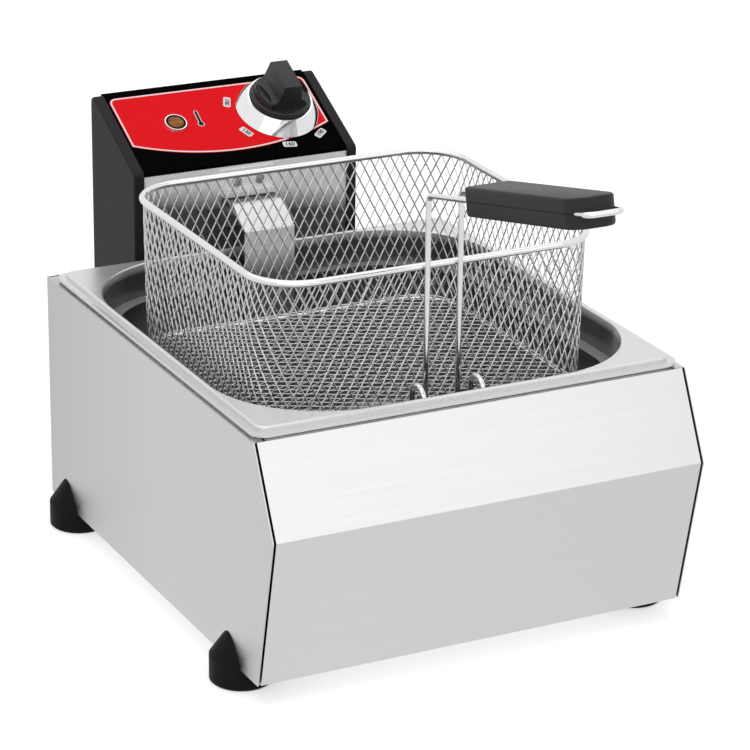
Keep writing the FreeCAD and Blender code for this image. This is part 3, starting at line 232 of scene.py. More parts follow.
# %% World
WORLD_LIGHT = 0.58
WORLD_SEEN = 1.0
WHITE = (1, 1, 1, 1)

world = bpy.data.worlds.new("studio_white")
bpy.context.scene.world = world
world.use_nodes = True
sky = world.node_tree
sky.nodes.clear()
rays = sky.nodes.new("ShaderNodeLightPath").outputs
seen = combined(sky, "MAXIMUM", rays["Is Camera Ray"], rays["Is Glossy Ray"])
seen_or_clear = combined(sky, "MAXIMUM", seen, rays["Is Transmission Ray"])
background = sky.nodes.new("ShaderNodeBackground")
background.inputs["Color"].default_value = WHITE
sky_out = sky.nodes.new("ShaderNodeOutputWorld")
link_nodes(
    sky,
    (rescaled(sky, seen_or_clear, 0.0, 1.0, WORLD_LIGHT, WORLD_SEEN), background.inputs["Strength"]),
    (background.outputs[0], sky_out.inputs["Surface"]),
)
print("world lights the object at", WORLD_LIGHT)

# %% [markdown]
# ## Floor
# The fryer stands on a pale table top that runs into the background. Paint alone would turn grey in soft
# light, and a glowing plane alone would lose the shadow. So the camera sees paint plus a weak glow, which
# comes out white and still keeps a soft shadow under the object, and the steel mirrors a stronger glow
# without the paint.

# %% Floor
FLOOR_SIZE = 30
FLOOR_PAINT = (0.9, 0.9, 0.9, 1)
FLOOR_GLOW = 0.5
FLOOR_IN_STEEL = 0.92

clear_selection()
bpy.ops.mesh.primitive_plane_add(size=FLOOR_SIZE, location=(0, 0, 0))
floor = settle(named("studio_floor"))
floor_finish = bpy.data.materials.new("pale_floor")
floor_finish.use_nodes = True
floor_tree = floor_finish.node_tree
floor_tree.nodes.clear()
rays = floor_tree.nodes.new("ShaderNodeLightPath").outputs
paint = floor_tree.nodes.new("ShaderNodeBsdfDiffuse")
paint.inputs["Color"].default_value = FLOOR_PAINT
glow = floor_tree.nodes.new("ShaderNodeEmission")
glow_level = rescaled(floor_tree, rays["Is Camera Ray"], 0.0, 1.0, FLOOR_IN_STEEL, FLOOR_GLOW)
lit = floor_tree.nodes.new("ShaderNodeAddShader")
mirrored = floor_tree.nodes.new("ShaderNodeMixShader")
shown = floor_tree.nodes.new("ShaderNodeMixShader")
floor_out = floor_tree.nodes.new("ShaderNodeOutputMaterial")
link_nodes(
    floor_tree,
    (glow_level, glow.inputs["Strength"]),
    (paint.outputs[0], lit.inputs[0]),
    (glow.outputs[0], lit.inputs[1]),
    (rays["Is Glossy Ray"], mirrored.inputs["Fac"]),
    (paint.outputs[0], mirrored.inputs[1]),
    (glow.outputs[0], mirrored.inputs[2]),
    (rays["Is Camera Ray"], shown.inputs["Fac"]),
    (mirrored.outputs[0], shown.inputs[1]),
    (lit.outputs[0], shown.inputs[2]),
    (shown.outputs[0], floor_out.inputs["Surface"]),
)
floor.data.materials.append(floor_finish)
print("floor of", FLOOR_SIZE, "m with a glow of", FLOOR_GLOW)

# %% [markdown]
# ## Lamps
# Three softboxes light the fryer: a wide one overhead, a wide one beside the camera, and a smaller one at
# the front right, which makes the sloping upper half of the front panel the brightest face. Small strong
# lamps would burn white spots into the steel, so the lamps are large and weak.

# %% Lamps
LAMPS = (  # name, place, aim, size in metres, power in watts
    ("front_right_softbox", (0.85, -1.95, 1.25), (0, -0.1, 0.15), 1.1, 1.8),
    ("overhead_softbox", (-0.3, 0.2, 2.2), (0, 0, 0.15), 3.0, 14),
    ("camera_fill", (-1.3, -2.4, 0.9), (0, 0, 0.2), 3.2, 12),
)


def soft_lamp(name, place, aim, size, power):
    data = bpy.data.lights.new(name, "AREA")
    data.shape = "SQUARE"
    data.size = size
    data.energy = power
    lamp = bpy.data.objects.new(name, data)
    bpy.context.scene.collection.objects.link(lamp)
    way = Vector(aim) - Vector(place)
    lamp.matrix_world = Matrix.Translation(place) @ way.to_track_quat("-Z", "Y").to_matrix().to_4x4()


for lamp_row in LAMPS:
    soft_lamp(*lamp_row)
print("lamps", len(LAMPS))

# %% [markdown]
# ## Patterns for the finishes
# Every finish reads Object coordinates, so its pattern stays on the piece. Image textures could do the same
# work, but a noise needs no file and no unwrapping. It drives the colour a little, the roughness more, and
# a very shallow bump, so that no surface is one flat value.

# %% Pattern helpers
NOISE_MIDDLE = (0.3, 0.7)


def neutral(level):
    return (level,) * 3


def new_finish(name):
    finish = bpy.data.materials.new(name)
    finish.use_nodes = True
    tree = finish.node_tree
    return finish, tree, tree.nodes["Principled BSDF"]


def pattern(tree, scale, stretch=(1, 1, 1), detail=3.0):
    where = tree.nodes.new("ShaderNodeTexCoord")
    mapping = tree.nodes.new("ShaderNodeMapping")
    mapping.inputs["Scale"].default_value = stretch
    noise = tree.nodes.new("ShaderNodeTexNoise")
    noise.inputs["Scale"].default_value = scale
    noise.inputs["Detail"].default_value = detail
    tree.links.new(where.outputs["Object"], mapping.inputs["Vector"])
    tree.links.new(mapping.outputs["Vector"], noise.inputs["Vector"])
    return noise.outputs["Fac"]


def ramp_colour(tree, source, low, high):
    ramp = tree.nodes.new("ShaderNodeValToRGB")
    stops = ramp.color_ramp.elements
    stops[0].position, stops[1].position = NOISE_MIDDLE
    stops[0].color, stops[1].color = (*low, 1), (*high, 1)
    tree.links.new(source, ramp.inputs["Fac"])
    return ramp.outputs["Color"]


def spread(tree, source, low, high):
    return rescaled(tree, source, *NOISE_MIDDLE, low, high)


def relief(tree, shader, source, strength, depth):
    bump = tree.nodes.new("ShaderNodeBump")
    bump.inputs["Strength"].default_value = strength
    bump.inputs["Distance"].default_value = depth
    tree.links.new(source, bump.inputs["Height"])
    tree.links.new(bump.outputs["Normal"], shader.inputs["Normal"])


print("patterns use the noise between", *NOISE_MIDDLE)

# %% [markdown]
# ## Brushed steel, bright wire and moulded plastic
# Brushed sheet has fine scratches in one direction, so its noise is stretched into long thin streaks. Drawn
# wire and plated trim have no direction, and a soft mottling is enough. Moulded plastic has a fine even
# grain in its skin. One helper for each kind keeps all finishes of that kind alike.

# %% Three kinds of finish
BRUSH_DEPTH = 0.0002
BRUSH_DETAIL = 4.0
GRAIN_DEPTH = 0.00025
GRAIN_DETAIL = 2.0


def brushed_steel(name, grey, stretch, rough=(0.28, 0.36), contrast=0.025, grain=0.07):
    finish, tree, shader = new_finish(name)
    streaks = pattern(tree, 1.0, stretch, BRUSH_DETAIL)
    low = tuple(max(0.0, c - contrast) for c in grey)
    high = tuple(min(1.0, c + contrast) for c in grey)
    tree.links.new(ramp_colour(tree, streaks, low, high), shader.inputs["Base Color"])
    tree.links.new(spread(tree, streaks, *rough), shader.inputs["Roughness"])
    shader.inputs["Metallic"].default_value = 1.0
    relief(tree, shader, streaks, grain, BRUSH_DEPTH)
    return finish


def bright_metal(name, grey, rough, scale=120.0, contrast=0.04):
    finish, tree, shader = new_finish(name)
    clouds = pattern(tree, scale)
    low = tuple(max(0.0, c - contrast) for c in grey)
    tree.links.new(ramp_colour(tree, clouds, low, grey), shader.inputs["Base Color"])
    tree.links.new(spread(tree, clouds, *rough), shader.inputs["Roughness"])
    shader.inputs["Metallic"].default_value = 1.0
    return finish


def moulded(name, low, high, rough, scale=900.0, bump=0.25, shine=0.3):
    finish, tree, shader = new_finish(name)
    shader.inputs["Specular IOR Level"].default_value = shine
    grain = pattern(tree, scale, detail=GRAIN_DETAIL)
    tree.links.new(ramp_colour(tree, grain, low, high), shader.inputs["Base Color"])
    tree.links.new(spread(tree, grain, *rough), shader.inputs["Roughness"])
    relief(tree, shader, grain, bump, GRAIN_DEPTH)
    return finish


print("bump depths in m: brushing", BRUSH_DEPTH, "grain", GRAIN_DEPTH)

# %% [markdown]
# ## Steel with painted reflection and shade
# Bright sheet mirrors the room, so it seems to fade from bright to dark along a panel, and the inner walls
# of a tank mirror dark things and lie in shade. A white studio has little to mirror, so a painted fade of
# reflection and shade stands in for it. Vertex paint could hold it, but a CAD mesh has too few points. Here
# a dot product measures the place along a direction, and the result mixes a shaded and a lit grey brushing.

# %% Fading steel
STREAK_CONTRAST = 0.02


def measured(tree, source, way):
    along = tree.nodes.new("ShaderNodeVectorMath")
    along.operation = "DOT_PRODUCT"
    along.inputs[1].default_value = way
    tree.links.new(source, along.inputs[0])
    return along.outputs["Value"]


# Share of the painted lit grey along a direction: painted reflection and shade.
def fade(way, shaded_end, lit_end):
    return lambda tree, place: rescaled(tree, measured(tree, place, way), shaded_end, lit_end)


def streaky_grey(tree, streaks, level):
    return ramp_colour(tree, streaks, neutral(level), neutral(level + STREAK_CONTRAST))


# Mixes a darker and a lighter grey by place: painted reflection and shade on the steel, not its own colour.
def steel_with_painted_light(name, shaded_grey, lit_grey, light, stretch, rough, metal=1.0, grain=0.05):
    finish, tree, shader = new_finish(name)
    streaks = pattern(tree, 1.0, stretch)
    lighter = streaky_grey(tree, streaks, lit_grey)
    darker = streaky_grey(tree, streaks, shaded_grey)
    shade = tree.nodes.new("ShaderNodeMix")
    shade.data_type = "RGBA"
    place = tree.nodes.new("ShaderNodeTexCoord").outputs["Object"]
    link_nodes(
        tree,
        (light(tree, place), shade.inputs["Factor"]),
        (darker, shade.inputs["A"]),
        (lighter, shade.inputs["B"]),
        (shade.outputs["Result"], shader.inputs["Base Color"]),
        (spread(tree, streaks, *rough), shader.inputs["Roughness"]),
    )
    shader.inputs["Metallic"].default_value = metal
    if grain:
        relief(tree, shader, streaks, grain, BRUSH_DEPTH)
    return finish


print("streaks differ by", STREAK_CONTRAST)

# %% [markdown]
# ## Where the guard strip and the tank get painted highlight and shade
# The guard strip has a painted highlight on its bend, and painted shade where it dips into the tank and
# close to the head. The tank is painted lit outside and on its lip and ledge, and in painted shade on its
# inner walls, a little less so deep inside. Two finishes on one piece would need a cut through the mesh, so
# the place and the way a face looks decide instead.

# %% Guard strip
UP = (0, 0, 1)
FORWARD = (0, -1, 0)
GUARD_FRONT = (0.180, 0.200)
GUARD_SHELF = (-0.199, -0.194)


# Painted highlight on the bend, painted shade low down and towards the head.
def guard_light(tree, place):
    front = rescaled(tree, measured(tree, place, UP), *GUARD_FRONT)
    shelf = rescaled(tree, measured(tree, place, FORWARD), *GUARD_SHELF)
    return combined(tree, "MINIMUM", front, shelf)


print("guard strip turns bright between heights", *GUARD_FRONT)

# %% Tank
TANK_LIP = (0.1890, 0.1935)
TANK_DEPTH = (0.166, 0.135)
TANK_DEPTH_SHARE = 0.35
TANK_LEDGE_WAY = (0, 0, 0.9)
TANK_FLAT = (1, 1, 0)
TANK_SHIFT = (0, -0.0265, -0.05)  # to the tank's middle, and down so that its underside counts as outside
TANK_OUTSIDE = 0.01


def tank_outside(tree, place, facing):
    outwards = tree.nodes.new("ShaderNodeVectorMath")
    outwards.operation = "MULTIPLY_ADD"
    outwards.inputs[1].default_value = TANK_FLAT
    outwards.inputs[2].default_value = TANK_SHIFT
    tree.links.new(place, outwards.inputs[0])
    outer = tree.nodes.new("ShaderNodeVectorMath")
    outer.operation = "DOT_PRODUCT"
    tree.links.new(outwards.outputs[0], outer.inputs[0])
    tree.links.new(facing, outer.inputs[1])
    return combined(tree, "GREATER_THAN", outer.outputs["Value"], TANK_OUTSIDE)


# Painted reflection and shade: lit outside, on the lip and on upward faces above the ledge, dark on the
# inner walls, a little lighter deep inside.
def tank_light(tree, place):
    height = measured(tree, place, UP)
    facing = tree.nodes.new("ShaderNodeNewGeometry").outputs["Normal"]
    lip = rescaled(tree, height, *TANK_LIP)
    depth = combined(tree, "MULTIPLY", rescaled(tree, height, *TANK_DEPTH), TANK_DEPTH_SHARE)
    above = combined(tree, "GREATER_THAN", height, TANK_DEPTH[0])
    ledge = combined(tree, "MULTIPLY", measured(tree, facing, TANK_LEDGE_WAY), above)
    inner = combined(tree, "MAXIMUM", combined(tree, "MAXIMUM", lip, depth), ledge)
    return combined(tree, "MAXIMUM", inner, tank_outside(tree, place, facing))


print("tank lip turns bright between heights", *TANK_LIP)

# %% [markdown]
# ## The fryer's finishes
# Sheet is brushed along its longer side, so the side panels and the front panel get streaks in different
# directions. Each kind of finish has a table with one row for each name, which is easier to tune than many
# calls.

# %% Steel finishes
ALONG_Y = (700.0, 6.0, 700.0)
ALONG_X = (6.0, 700.0, 700.0)
EVEN = (30.0, 30.0, 30.0)
# Painted reflection and shade: side panels darker towards the rear, front panel towards the right, plate
# lower down.
SIDE_FADE = fade((0, 1, 0), 0.24, 0.0)
FRONT_FADE = fade((1, 0, 0), 0.165, -0.165)
PLATE_FADE = fade((0.13, 0, 1), 0.218, 0.236)
STEELS_WITH_PAINTED_LIGHT = {  # painted shade grey, painted lit grey, light, brushing, roughness, metallic, grain
    "side_steel": (0.50, 0.62, SIDE_FADE, ALONG_Y, (0.28, 0.36)),
    "front_steel": (0.66, 0.70, FRONT_FADE, ALONG_X, (0.28, 0.36)),
    "tank_steel": (0.10, 0.74, tank_light, EVEN, (0.24, 0.28), 0.65, 0.0),
    "plate_steel": (0.07, 0.96, PLATE_FADE, ALONG_X, (0.32, 0.42), 0.1),
    "guard_steel": (0.16, 0.98, guard_light, ALONG_X, (0.30, 0.38), 0.1),
}
finishes = {name: steel_with_painted_light(name, *row) for name, row in STEELS_WITH_PAINTED_LIGHT.items()}
finishes["head_steel"] = brushed_steel("head_steel", (0.58, 0.58, 0.59), ALONG_X)
print("steel finishes", len(finishes))

# %% Wire, trim and tube finishes
BRIGHT_METALS = {  # colour, roughness, size of the mottling, contrast
    "polished_wire": ((0.80, 0.80, 0.81), (0.10, 0.20)),
    "mesh_wire": ((0.62, 0.62, 0.63), (0.36, 0.48), 300.0),
    "floor_wire": ((0.46, 0.46, 0.47), (0.22, 0.34), 300.0),
    "chrome_trim": ((0.84, 0.84, 0.85), (0.04, 0.09)),
    "element_steel": ((0.34, 0.32, 0.30), (0.30, 0.46), 90.0, 0.10),
    "copper_tube": ((0.70, 0.42, 0.24), (0.20, 0.34), 150.0, 0.10),
}
for name, row in BRIGHT_METALS.items():
    finishes[name] = bright_metal(name, *row)
print("bright metals", len(BRIGHT_METALS))

# %% Plastic and print finishes
MOULDED = {  # darker colour, lighter colour, roughness, size of the grain, bump, shine
    "cap_plastic": ((0.016, 0.016, 0.017), (0.023, 0.023, 0.024), (0.46, 0.58), 900.0, 0.25, 0.12),
    "fascia_black": (neutral(0.001), neutral(0.002), (0.42, 0.52), 500.0, 0.1, 0.005),
    "label_red": ((0.87, 0.011, 0.017), (0.91, 0.013, 0.019), (0.42, 0.50), 500.0, 0.06, 0.02),
    "print_white": (neutral(0.84), neutral(0.92), (0.42, 0.50), 500.0, 0.05),
    "print_black": (neutral(0.006), neutral(0.014), (0.40, 0.50), 500.0, 0.05, 0.05),
    "knob_plastic": ((0.018, 0.018, 0.019), (0.030, 0.030, 0.031), (0.24, 0.34), 700.0, 0.1),
    "grip_plastic": ((0.021, 0.021, 0.022), (0.029, 0.029, 0.030), (0.40, 0.52), 800.0, 0.25, 0.2),
    "foot_rubber": (neutral(0.006), neutral(0.011), (0.48, 0.62), 600.0, 0.25, 0.08),
    "inner_plastic": ((0.62, 0.60, 0.55), (0.72, 0.70, 0.65), (0.40, 0.52), 400.0),
    "button_red": ((0.50, 0.020, 0.020), (0.60, 0.03, 0.03), (0.25, 0.35), 400.0, 0.05),
    "amber_lens": ((0.20, 0.060, 0.006), (0.52, 0.20, 0.02), (0.10, 0.18), 260.0, 0.3, 0.2),
}
for name, row in MOULDED.items():
    finishes[name] = moulded(name, *row)
print("plastics and prints", len(MOULDED), "all finishes", len(finishes))

# %% [markdown]
# ## Finishes on the solids
# Each solid names a material slot, and most slots have one finish of the same name. A few sheet pieces share
# a slot but get their own brushing or painted reflection and shade, so a short list gives those their own
# finish.

# %% Put finishes on the solids
slot_of = {row["node"]: row["material_slot"] for row in frame["record"]["subparts"]}
own_finish = {
    "side_panel_left": "side_steel",
    "side_panel_right": "side_steel",
    "base_pan": "front_steel",
    "front_panel": "front_steel",
    "rear_panel": "front_steel",
    "head_front_plate": "plate_steel",
    "element_guard": "guard_steel",
    "hook_plate": "plate_steel",
}


def coat(piece, finish):
    piece.data.materials.clear()
    piece.data.materials.append(finishes[finish])


def dress(piece, finish, body):
    coat(piece, finish)
    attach(piece, body)
    return piece


for name, node in nodes.items():
    coat(node, own_finish.get(name, slot_of[name]))
print("dressed", len(nodes), "solids")

# %% [markdown]
# ## Basket walls
# The walls are expanded wire mesh with upright diamonds. A wire texture would look flat, so the strands are
# real. By hand it starts as two rounded rectangles, one at the rim and one at the floor, bridged into rings
# of tall faces. Poking every face and dissolving the old edges turns the rings into diamonds, and a
# wireframe modifier gives each strand its thickness.

# %% Rounded outline with evenly spaced points
BASKET_Y = 0.022
MESH_INSET = 0.0004
CORNER_STEPS = 7
LONG_STEPS = (22, 20)
LONG_EDGE = 0.1


def basket_loop(half, corner, z):
    clear_selection()
    bpy.ops.mesh.primitive_plane_add(size=2, location=(0, BASKET_Y, z))
    loop = bpy.context.object
    loop.scale = (half[0] - MESH_INSET, half[1] - MESH_INSET, 1)
    settle(loop)
    edit(loop, "VERT")
    bpy.ops.mesh.select_all(action="SELECT")
    round_corners(corner, CORNER_STEPS)
    bpy.ops.mesh.select_all(action="SELECT")
    bpy.ops.mesh.delete(type="ONLY_FACE")
    for axis in (0, 1):
        bpy.ops.mesh.select_mode(type="EDGE")
        pick(loop, "edges", lambda e: abs(e.verts[0].co[axis] - e.verts[1].co[axis]) > LONG_EDGE)
        bpy.ops.mesh.subdivide(number_cuts=LONG_STEPS[axis] - 1)
    done()
    return loop


print("diamonds round the basket", 2 * sum(LONG_STEPS) + 4 * CORNER_STEPS)


# %% Turn faces into diamonds and diamonds into wire
def diamonds(piece):
    mesh = edit(piece)
    corners = len(mesh.verts)
    bpy.ops.mesh.select_all(action="SELECT")
    bpy.ops.mesh.poke()
    bpy.ops.mesh.select_mode(type="EDGE")
    bmesh.from_edit_mesh(piece.data).verts.index_update()
    old = pick(piece, "edges", lambda e: not e.is_boundary and max(v.index for v in e.verts) < corners)
    bpy.ops.mesh.dissolve_edges(use_verts=False, use_face_split=False)
    done()
    print(piece.name, "old edges dissolved", old)


def strands(piece, thickness):
    apply_modifier(piece, "WIREFRAME", thickness=thickness, use_even_offset=True, use_replace=True,
                   use_boundary=True)
    print(piece.name, "triangles about", 2 * len(piece.data.polygons))


# %% Basket walls
RIM_HALF = (0.129, 0.120)
RIM_CORNER = 0.036
RIM_Z = 0.2715
FLOOR_HALF = (0.127, 0.118)
FLOOR_CORNER = 0.034
FLOOR_Z = 0.1587
WALL_ROWS = 7
WALL_STRAND = 0.0012

rim_loop = basket_loop(RIM_HALF, RIM_CORNER, RIM_Z)
floor_loop = basket_loop(FLOOR_HALF, FLOOR_CORNER, FLOOR_Z)
walls = joined("basket_mesh_walls", rim_loop, floor_loop)
edit(walls, "EDGE")
bpy.ops.mesh.select_all(action="SELECT")
bpy.ops.mesh.bridge_edge_loops(number_cuts=WALL_ROWS - 1, interpolation="LINEAR")
done()
diamonds(walls)
strands(walls, WALL_STRAND)
dress(walls, "mesh_wire", "basket")
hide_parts("basket_walls")

# %% [markdown]
# ## Basket floor
# The floor is the same mesh laid flat with its diamonds lying across. It could be filled in from the walls'
# lowest loop, but then the diamonds would bend at the corners. So a grid is poked in the same way and cut
# to the rounded outline with straight bisects, four along the sides and three round each corner.

# %% Basket floor
FLOOR_CELLS = (15, 27)
FLOOR_LIFT = 0.0002
FLOOR_STRAND = 0.00075
FLOOR_TRIM = 0.0012
CUT_SHARES = (0.0, 0.25, 0.5, 0.75)
QUARTER_NUDGE = 1e-4


def floor_cut(angle):
    way = Vector((math.cos(angle), math.sin(angle), 0))
    past = angle + QUARTER_NUDGE
    arc_middle = Vector((math.copysign(FLOOR_HALF[0] - FLOOR_CORNER, math.cos(past)),
                         math.copysign(FLOOR_HALF[1] - FLOOR_CORNER, math.sin(past)), 0))
    edge_point = arc_middle + way * (FLOOR_CORNER - FLOOR_TRIM) + Vector((0, BASKET_Y, 0))
    bpy.ops.mesh.select_all(action="SELECT")
    bpy.ops.mesh.bisect(plane_co=edge_point, plane_no=way, clear_outer=True)


clear_selection()
bpy.ops.mesh.primitive_grid_add(x_subdivisions=FLOOR_CELLS[0], y_subdivisions=FLOOR_CELLS[1], size=2,
                                location=(0, BASKET_Y, FLOOR_Z + FLOOR_LIFT))
floor_mesh = named("basket_mesh_floor")
floor_mesh.scale = (*FLOOR_HALF, 1)
settle(floor_mesh)
diamonds(floor_mesh)
edit(floor_mesh)
for quarter in range(4):
    for share in CUT_SHARES:
        floor_cut((quarter + share) * math.pi / 2)
done()
strands(floor_mesh, FLOOR_STRAND)
dress(floor_mesh, "floor_wire", "basket")
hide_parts("basket_floor")

# %% [markdown]
# ## The sloping panel
# Label, dial and lamp lie on a panel that slopes 27 degrees. Modelling on the slope would make every
# measure awkward. So pieces for it are modelled flat, with x across and y up the slope, and then one helper
# turns them about the x axis and moves them to the bend of the head.

# %% Panel placing
PANEL_SLOPE = math.radians(27.0)
PANEL_BEND = (0.0, 0.2159, 0.257)
ONTO_PANEL = Matrix.Translation(PANEL_BEND) @ Matrix.Rotation(PANEL_SLOPE, 4, "X")


def onto_panel(piece):
    piece.data.transform(ONTO_PANEL)
    piece.data.update()
    return piece


print("panel bend at", PANEL_BEND)

# %% [markdown]
# ## Label
# The label is a printed red film with straight sides, rounded top corners and a bowed lower edge, and a
# white line runs along its rim. It could be drawn as a curve, but a mesh bevels and insets more easily. A
# plane is subdivided along its lower edge, whose points then move onto an arc. The white line is the same
# face, a touch smaller, of which an inset keeps only the rim.

# %% Label outline
LABEL_HALF = 0.0823
LABEL_TOP = 0.084
LABEL_SIDE = 0.030
LABEL_LOW = 0.012
LABEL_GAUGE = 0.0004
PRINT_GAUGE = 0.00012
BOW_CUTS = 31
LABEL_CORNER_STEPS = 8
LOWER_BAND = 0.01


def label_face(name, inset, corner):
    clear_selection()
    bpy.ops.mesh.primitive_plane_add(size=2, location=(0, (LABEL_TOP + LABEL_SIDE) / 2, 0))
    face = named(name)
    face.scale = (LABEL_HALF - inset, (LABEL_TOP - LABEL_SIDE) / 2 - inset, 1)
    settle(face)
    edit(face, "EDGE")
    pick(face, "edges", lambda e: middle(e).y < LABEL_SIDE + LOWER_BAND)
    bpy.ops.mesh.subdivide(number_cuts=BOW_CUTS)
    sag = LABEL_SIDE - LABEL_LOW
    bow = (LABEL_HALF ** 2 + sag ** 2) / (2 * sag)
    for vert in bmesh.from_edit_mesh(face.data).verts:
        if vert.co.y < LABEL_SIDE + inset + SAME_PLACE:
            vert.co.y = LABEL_LOW + inset + bow - math.sqrt(bow ** 2 - vert.co.x ** 2)
    bpy.ops.mesh.select_mode(type="VERT")
    pick(face, "verts", lambda v: v.co.y > LABEL_TOP - inset - SAME_PLACE)
    round_corners(corner, LABEL_CORNER_STEPS)
    done()
    return face


print("label width", 2 * LABEL_HALF)

# %% Red film
LABEL_CORNER = 0.006

label = label_face("label_film", 0.0, LABEL_CORNER)
apply_modifier(label, "SOLIDIFY", thickness=LABEL_GAUGE, offset=1.0)
onto_panel(label)
dress(label, "label_red", "head")
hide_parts("panel_label")
print("label points", len(label.data.vertices))

# %% White border
BORDER = 0.0013
BORDER_INSET = 0.0004
BORDER_CORNER = 0.0057

border = label_face("label_border", BORDER_INSET, BORDER_CORNER)
edit(border)
bpy.ops.mesh.select_all(action="SELECT")
bpy.ops.mesh.inset(thickness=BORDER)
bpy.ops.mesh.delete(type="FACE")
done()
border.data.transform(Matrix.Translation((0, 0, LABEL_GAUGE)))
apply_modifier(border, "SOLIDIFY", thickness=PRINT_GAUGE, offset=1.0)
onto_panel(border)
dress(border, "print_white", "head")
print("border points", len(border.data.vertices))

# %% [markdown]
# ## Numbers round the dial
# The dial has small white tags with black numbers that face its middle. A texture could carry them, but as
# pieces they stay sharp at any distance. Text is a curve in Blender, so it is turned into a mesh before it
# is placed, and each tag is a plane with rounded corners just under its number.

# %% Places round the dial
DIAL = (0.0465, 0.050)
TAG_RADIUS = 0.0395
TAG_NUMBERS = (("100", 158), ("130", 210), ("160", 262), ("190", 307))


def facing_dial(piece, angle, height):
    way = math.radians(angle)
    spot = Vector((DIAL[0] + TAG_RADIUS * math.cos(way), DIAL[1] + TAG_RADIUS * math.sin(way), height))
    piece.data.transform(Matrix.Translation(spot) @ Matrix.Rotation(way + math.pi / 2, 4, "Z"))
    return onto_panel(piece)


print("dial at", DIAL, "tags at", [angle for _, angle in TAG_NUMBERS], "degrees")

# %% Number tags
TAG_HALF = (0.0056, 0.0029)
TAG_CORNER = (0.0016, 5)
TAG_LEVEL = LABEL_GAUGE + PRINT_GAUGE
DIGIT_SIZE = 0.0052
DIGIT_GAUGE = 0.00006
DIGIT_WEIGHT = 0.00008
DIGIT_LEVEL = LABEL_GAUGE + 0.0003


def number_tag(number, angle):
    clear_selection()
    bpy.ops.mesh.primitive_plane_add(size=2)
    tag = named(f"dial_tag_{number}")
    tag.scale = (*TAG_HALF, 1)
    settle(tag)
    edit(tag, "VERT")
    bpy.ops.mesh.select_all(action="SELECT")
    round_corners(*TAG_CORNER)
    done()
    apply_modifier(tag, "SOLIDIFY", thickness=PRINT_GAUGE, offset=1.0)
    facing_dial(tag, angle, TAG_LEVEL)
    dress(tag, "print_white", "head")


def tag_digits(number, angle):
    clear_selection()
    bpy.ops.object.text_add()
    text = bpy.context.object.data
    text.body = number
    text.align_x = "CENTER"
    text.align_y = "CENTER"
    text.size = DIGIT_SIZE
    text.extrude = DIGIT_GAUGE
    text.offset = DIGIT_WEIGHT
    bpy.ops.object.convert(target="MESH")
    digits = named(f"dial_number_{number}")
    facing_dial(digits, angle, DIGIT_LEVEL)
    dress(digits, "print_black", "head")


for number, angle in TAG_NUMBERS:
    number_tag(number, angle)
    tag_digits(number, angle)
print("tags", len(TAG_NUMBERS))

# %% [markdown]
# ## Thermometer sign
# Between the lamp and the dial a small printed thermometer says what the dial sets. It could be drawn as a
# curve, but two flat discs are enough: a round one for the bulb, and a narrow one whose upper half is
# pulled up into the stem. A larger white pair under the black one gives it an edge.

# %% Thermometer sign
SIGN_PLACE = (-0.0195, 0.0485)
SIGN_TILT = math.radians(-2)
STEM_RADIUS = 0.0010
STEM_STRETCH = 0.011
STEM_Y = -0.001
BULB_RADIUS = 0.0021
BULB_Y = -0.0035
DISC_SIDES = 40
SIGN_LAYERS = (  # name, finish, extra radius, height over the label
    ("sign_edge", "print_white", 0.0006, 0.00008),
    ("sign_ink", "print_black", 0.0, 0.00018),
)
ONTO_LABEL = Matrix.Translation((*SIGN_PLACE, LABEL_GAUGE)) @ Matrix.Rotation(SIGN_TILT, 4, "Z")


def flat_disc(name, radius, stretch, place, height):
    clear_selection()
    bpy.ops.mesh.primitive_cylinder_add(vertices=DISC_SIDES, radius=radius, depth=PRINT_GAUGE,
                                        location=(0, 0, 0))
    disc = named(name)
    edit(disc)
    pick(disc, "verts", lambda v: v.co.y > SAME_PLACE)
    bpy.ops.transform.translate(value=(0, stretch, 0))
    done()
    disc.data.transform(Matrix.Translation((0, place, height)))
    return disc


for name, finish, grow, lift in SIGN_LAYERS:
    stem = flat_disc(f"{name}_stem", STEM_RADIUS + grow, STEM_STRETCH, STEM_Y, lift)
    bulb = flat_disc(f"{name}_bulb", BULB_RADIUS + grow, 0.0, BULB_Y, lift)
    sign = joined(f"thermometer_{name}", stem, bulb)
    sign.data.transform(ONTO_LABEL)
    onto_panel(sign)
    dress(sign, finish, "head")
print("sign at", SIGN_PLACE)

# %% [markdown]
# ## Gasket of the lamp
# A thin black ring closes the gap between the lamp's bright rim and its amber lens. A spun profile would
# do, but a torus pressed flat has the same round edge in one step.

# %% Lamp gasket
LAMP = (-0.040, 0.048)
GASKET_RADIUS = 0.0070
GASKET_THICK = 0.0009
GASKET_FLATTENED = 0.5
GASKET_SIDES = (64, 12)
GASKET_LEVEL = 0.0030

clear_selection()
bpy.ops.mesh.primitive_torus_add(major_radius=GASKET_RADIUS, minor_radius=GASKET_THICK,
                                 major_segments=GASKET_SIDES[0], minor_segments=GASKET_SIDES[1])
gasket = named("lamp_gasket")
gasket.scale.z = GASKET_FLATTENED
settle(gasket)
gasket.data.transform(Matrix.Translation((*LAMP, GASKET_LEVEL)))
onto_panel(gasket)
dress(gasket, "print_black", "head")
print("gasket points", len(gasket.data.vertices))

# %% [markdown]
# ## Dial knob
# The knob is a round skirt with a bar grip that flares into two lobes, each with a long dimple. Sculpting
# could give this shape, but not its clean edges. So a cone with its ends cut straight makes the body,
# wedges with a rounded inner edge cut the flanks of the bar, stretched balls cut the dimples, and one union
# joins body and skirt.

# %% Skirt
KNOB_RADIUS = 0.0235
SKIRT_HEIGHT = 0.0148
SKIRT_ROUND = (0.0016, 4)
KNOB_SIDES = 72

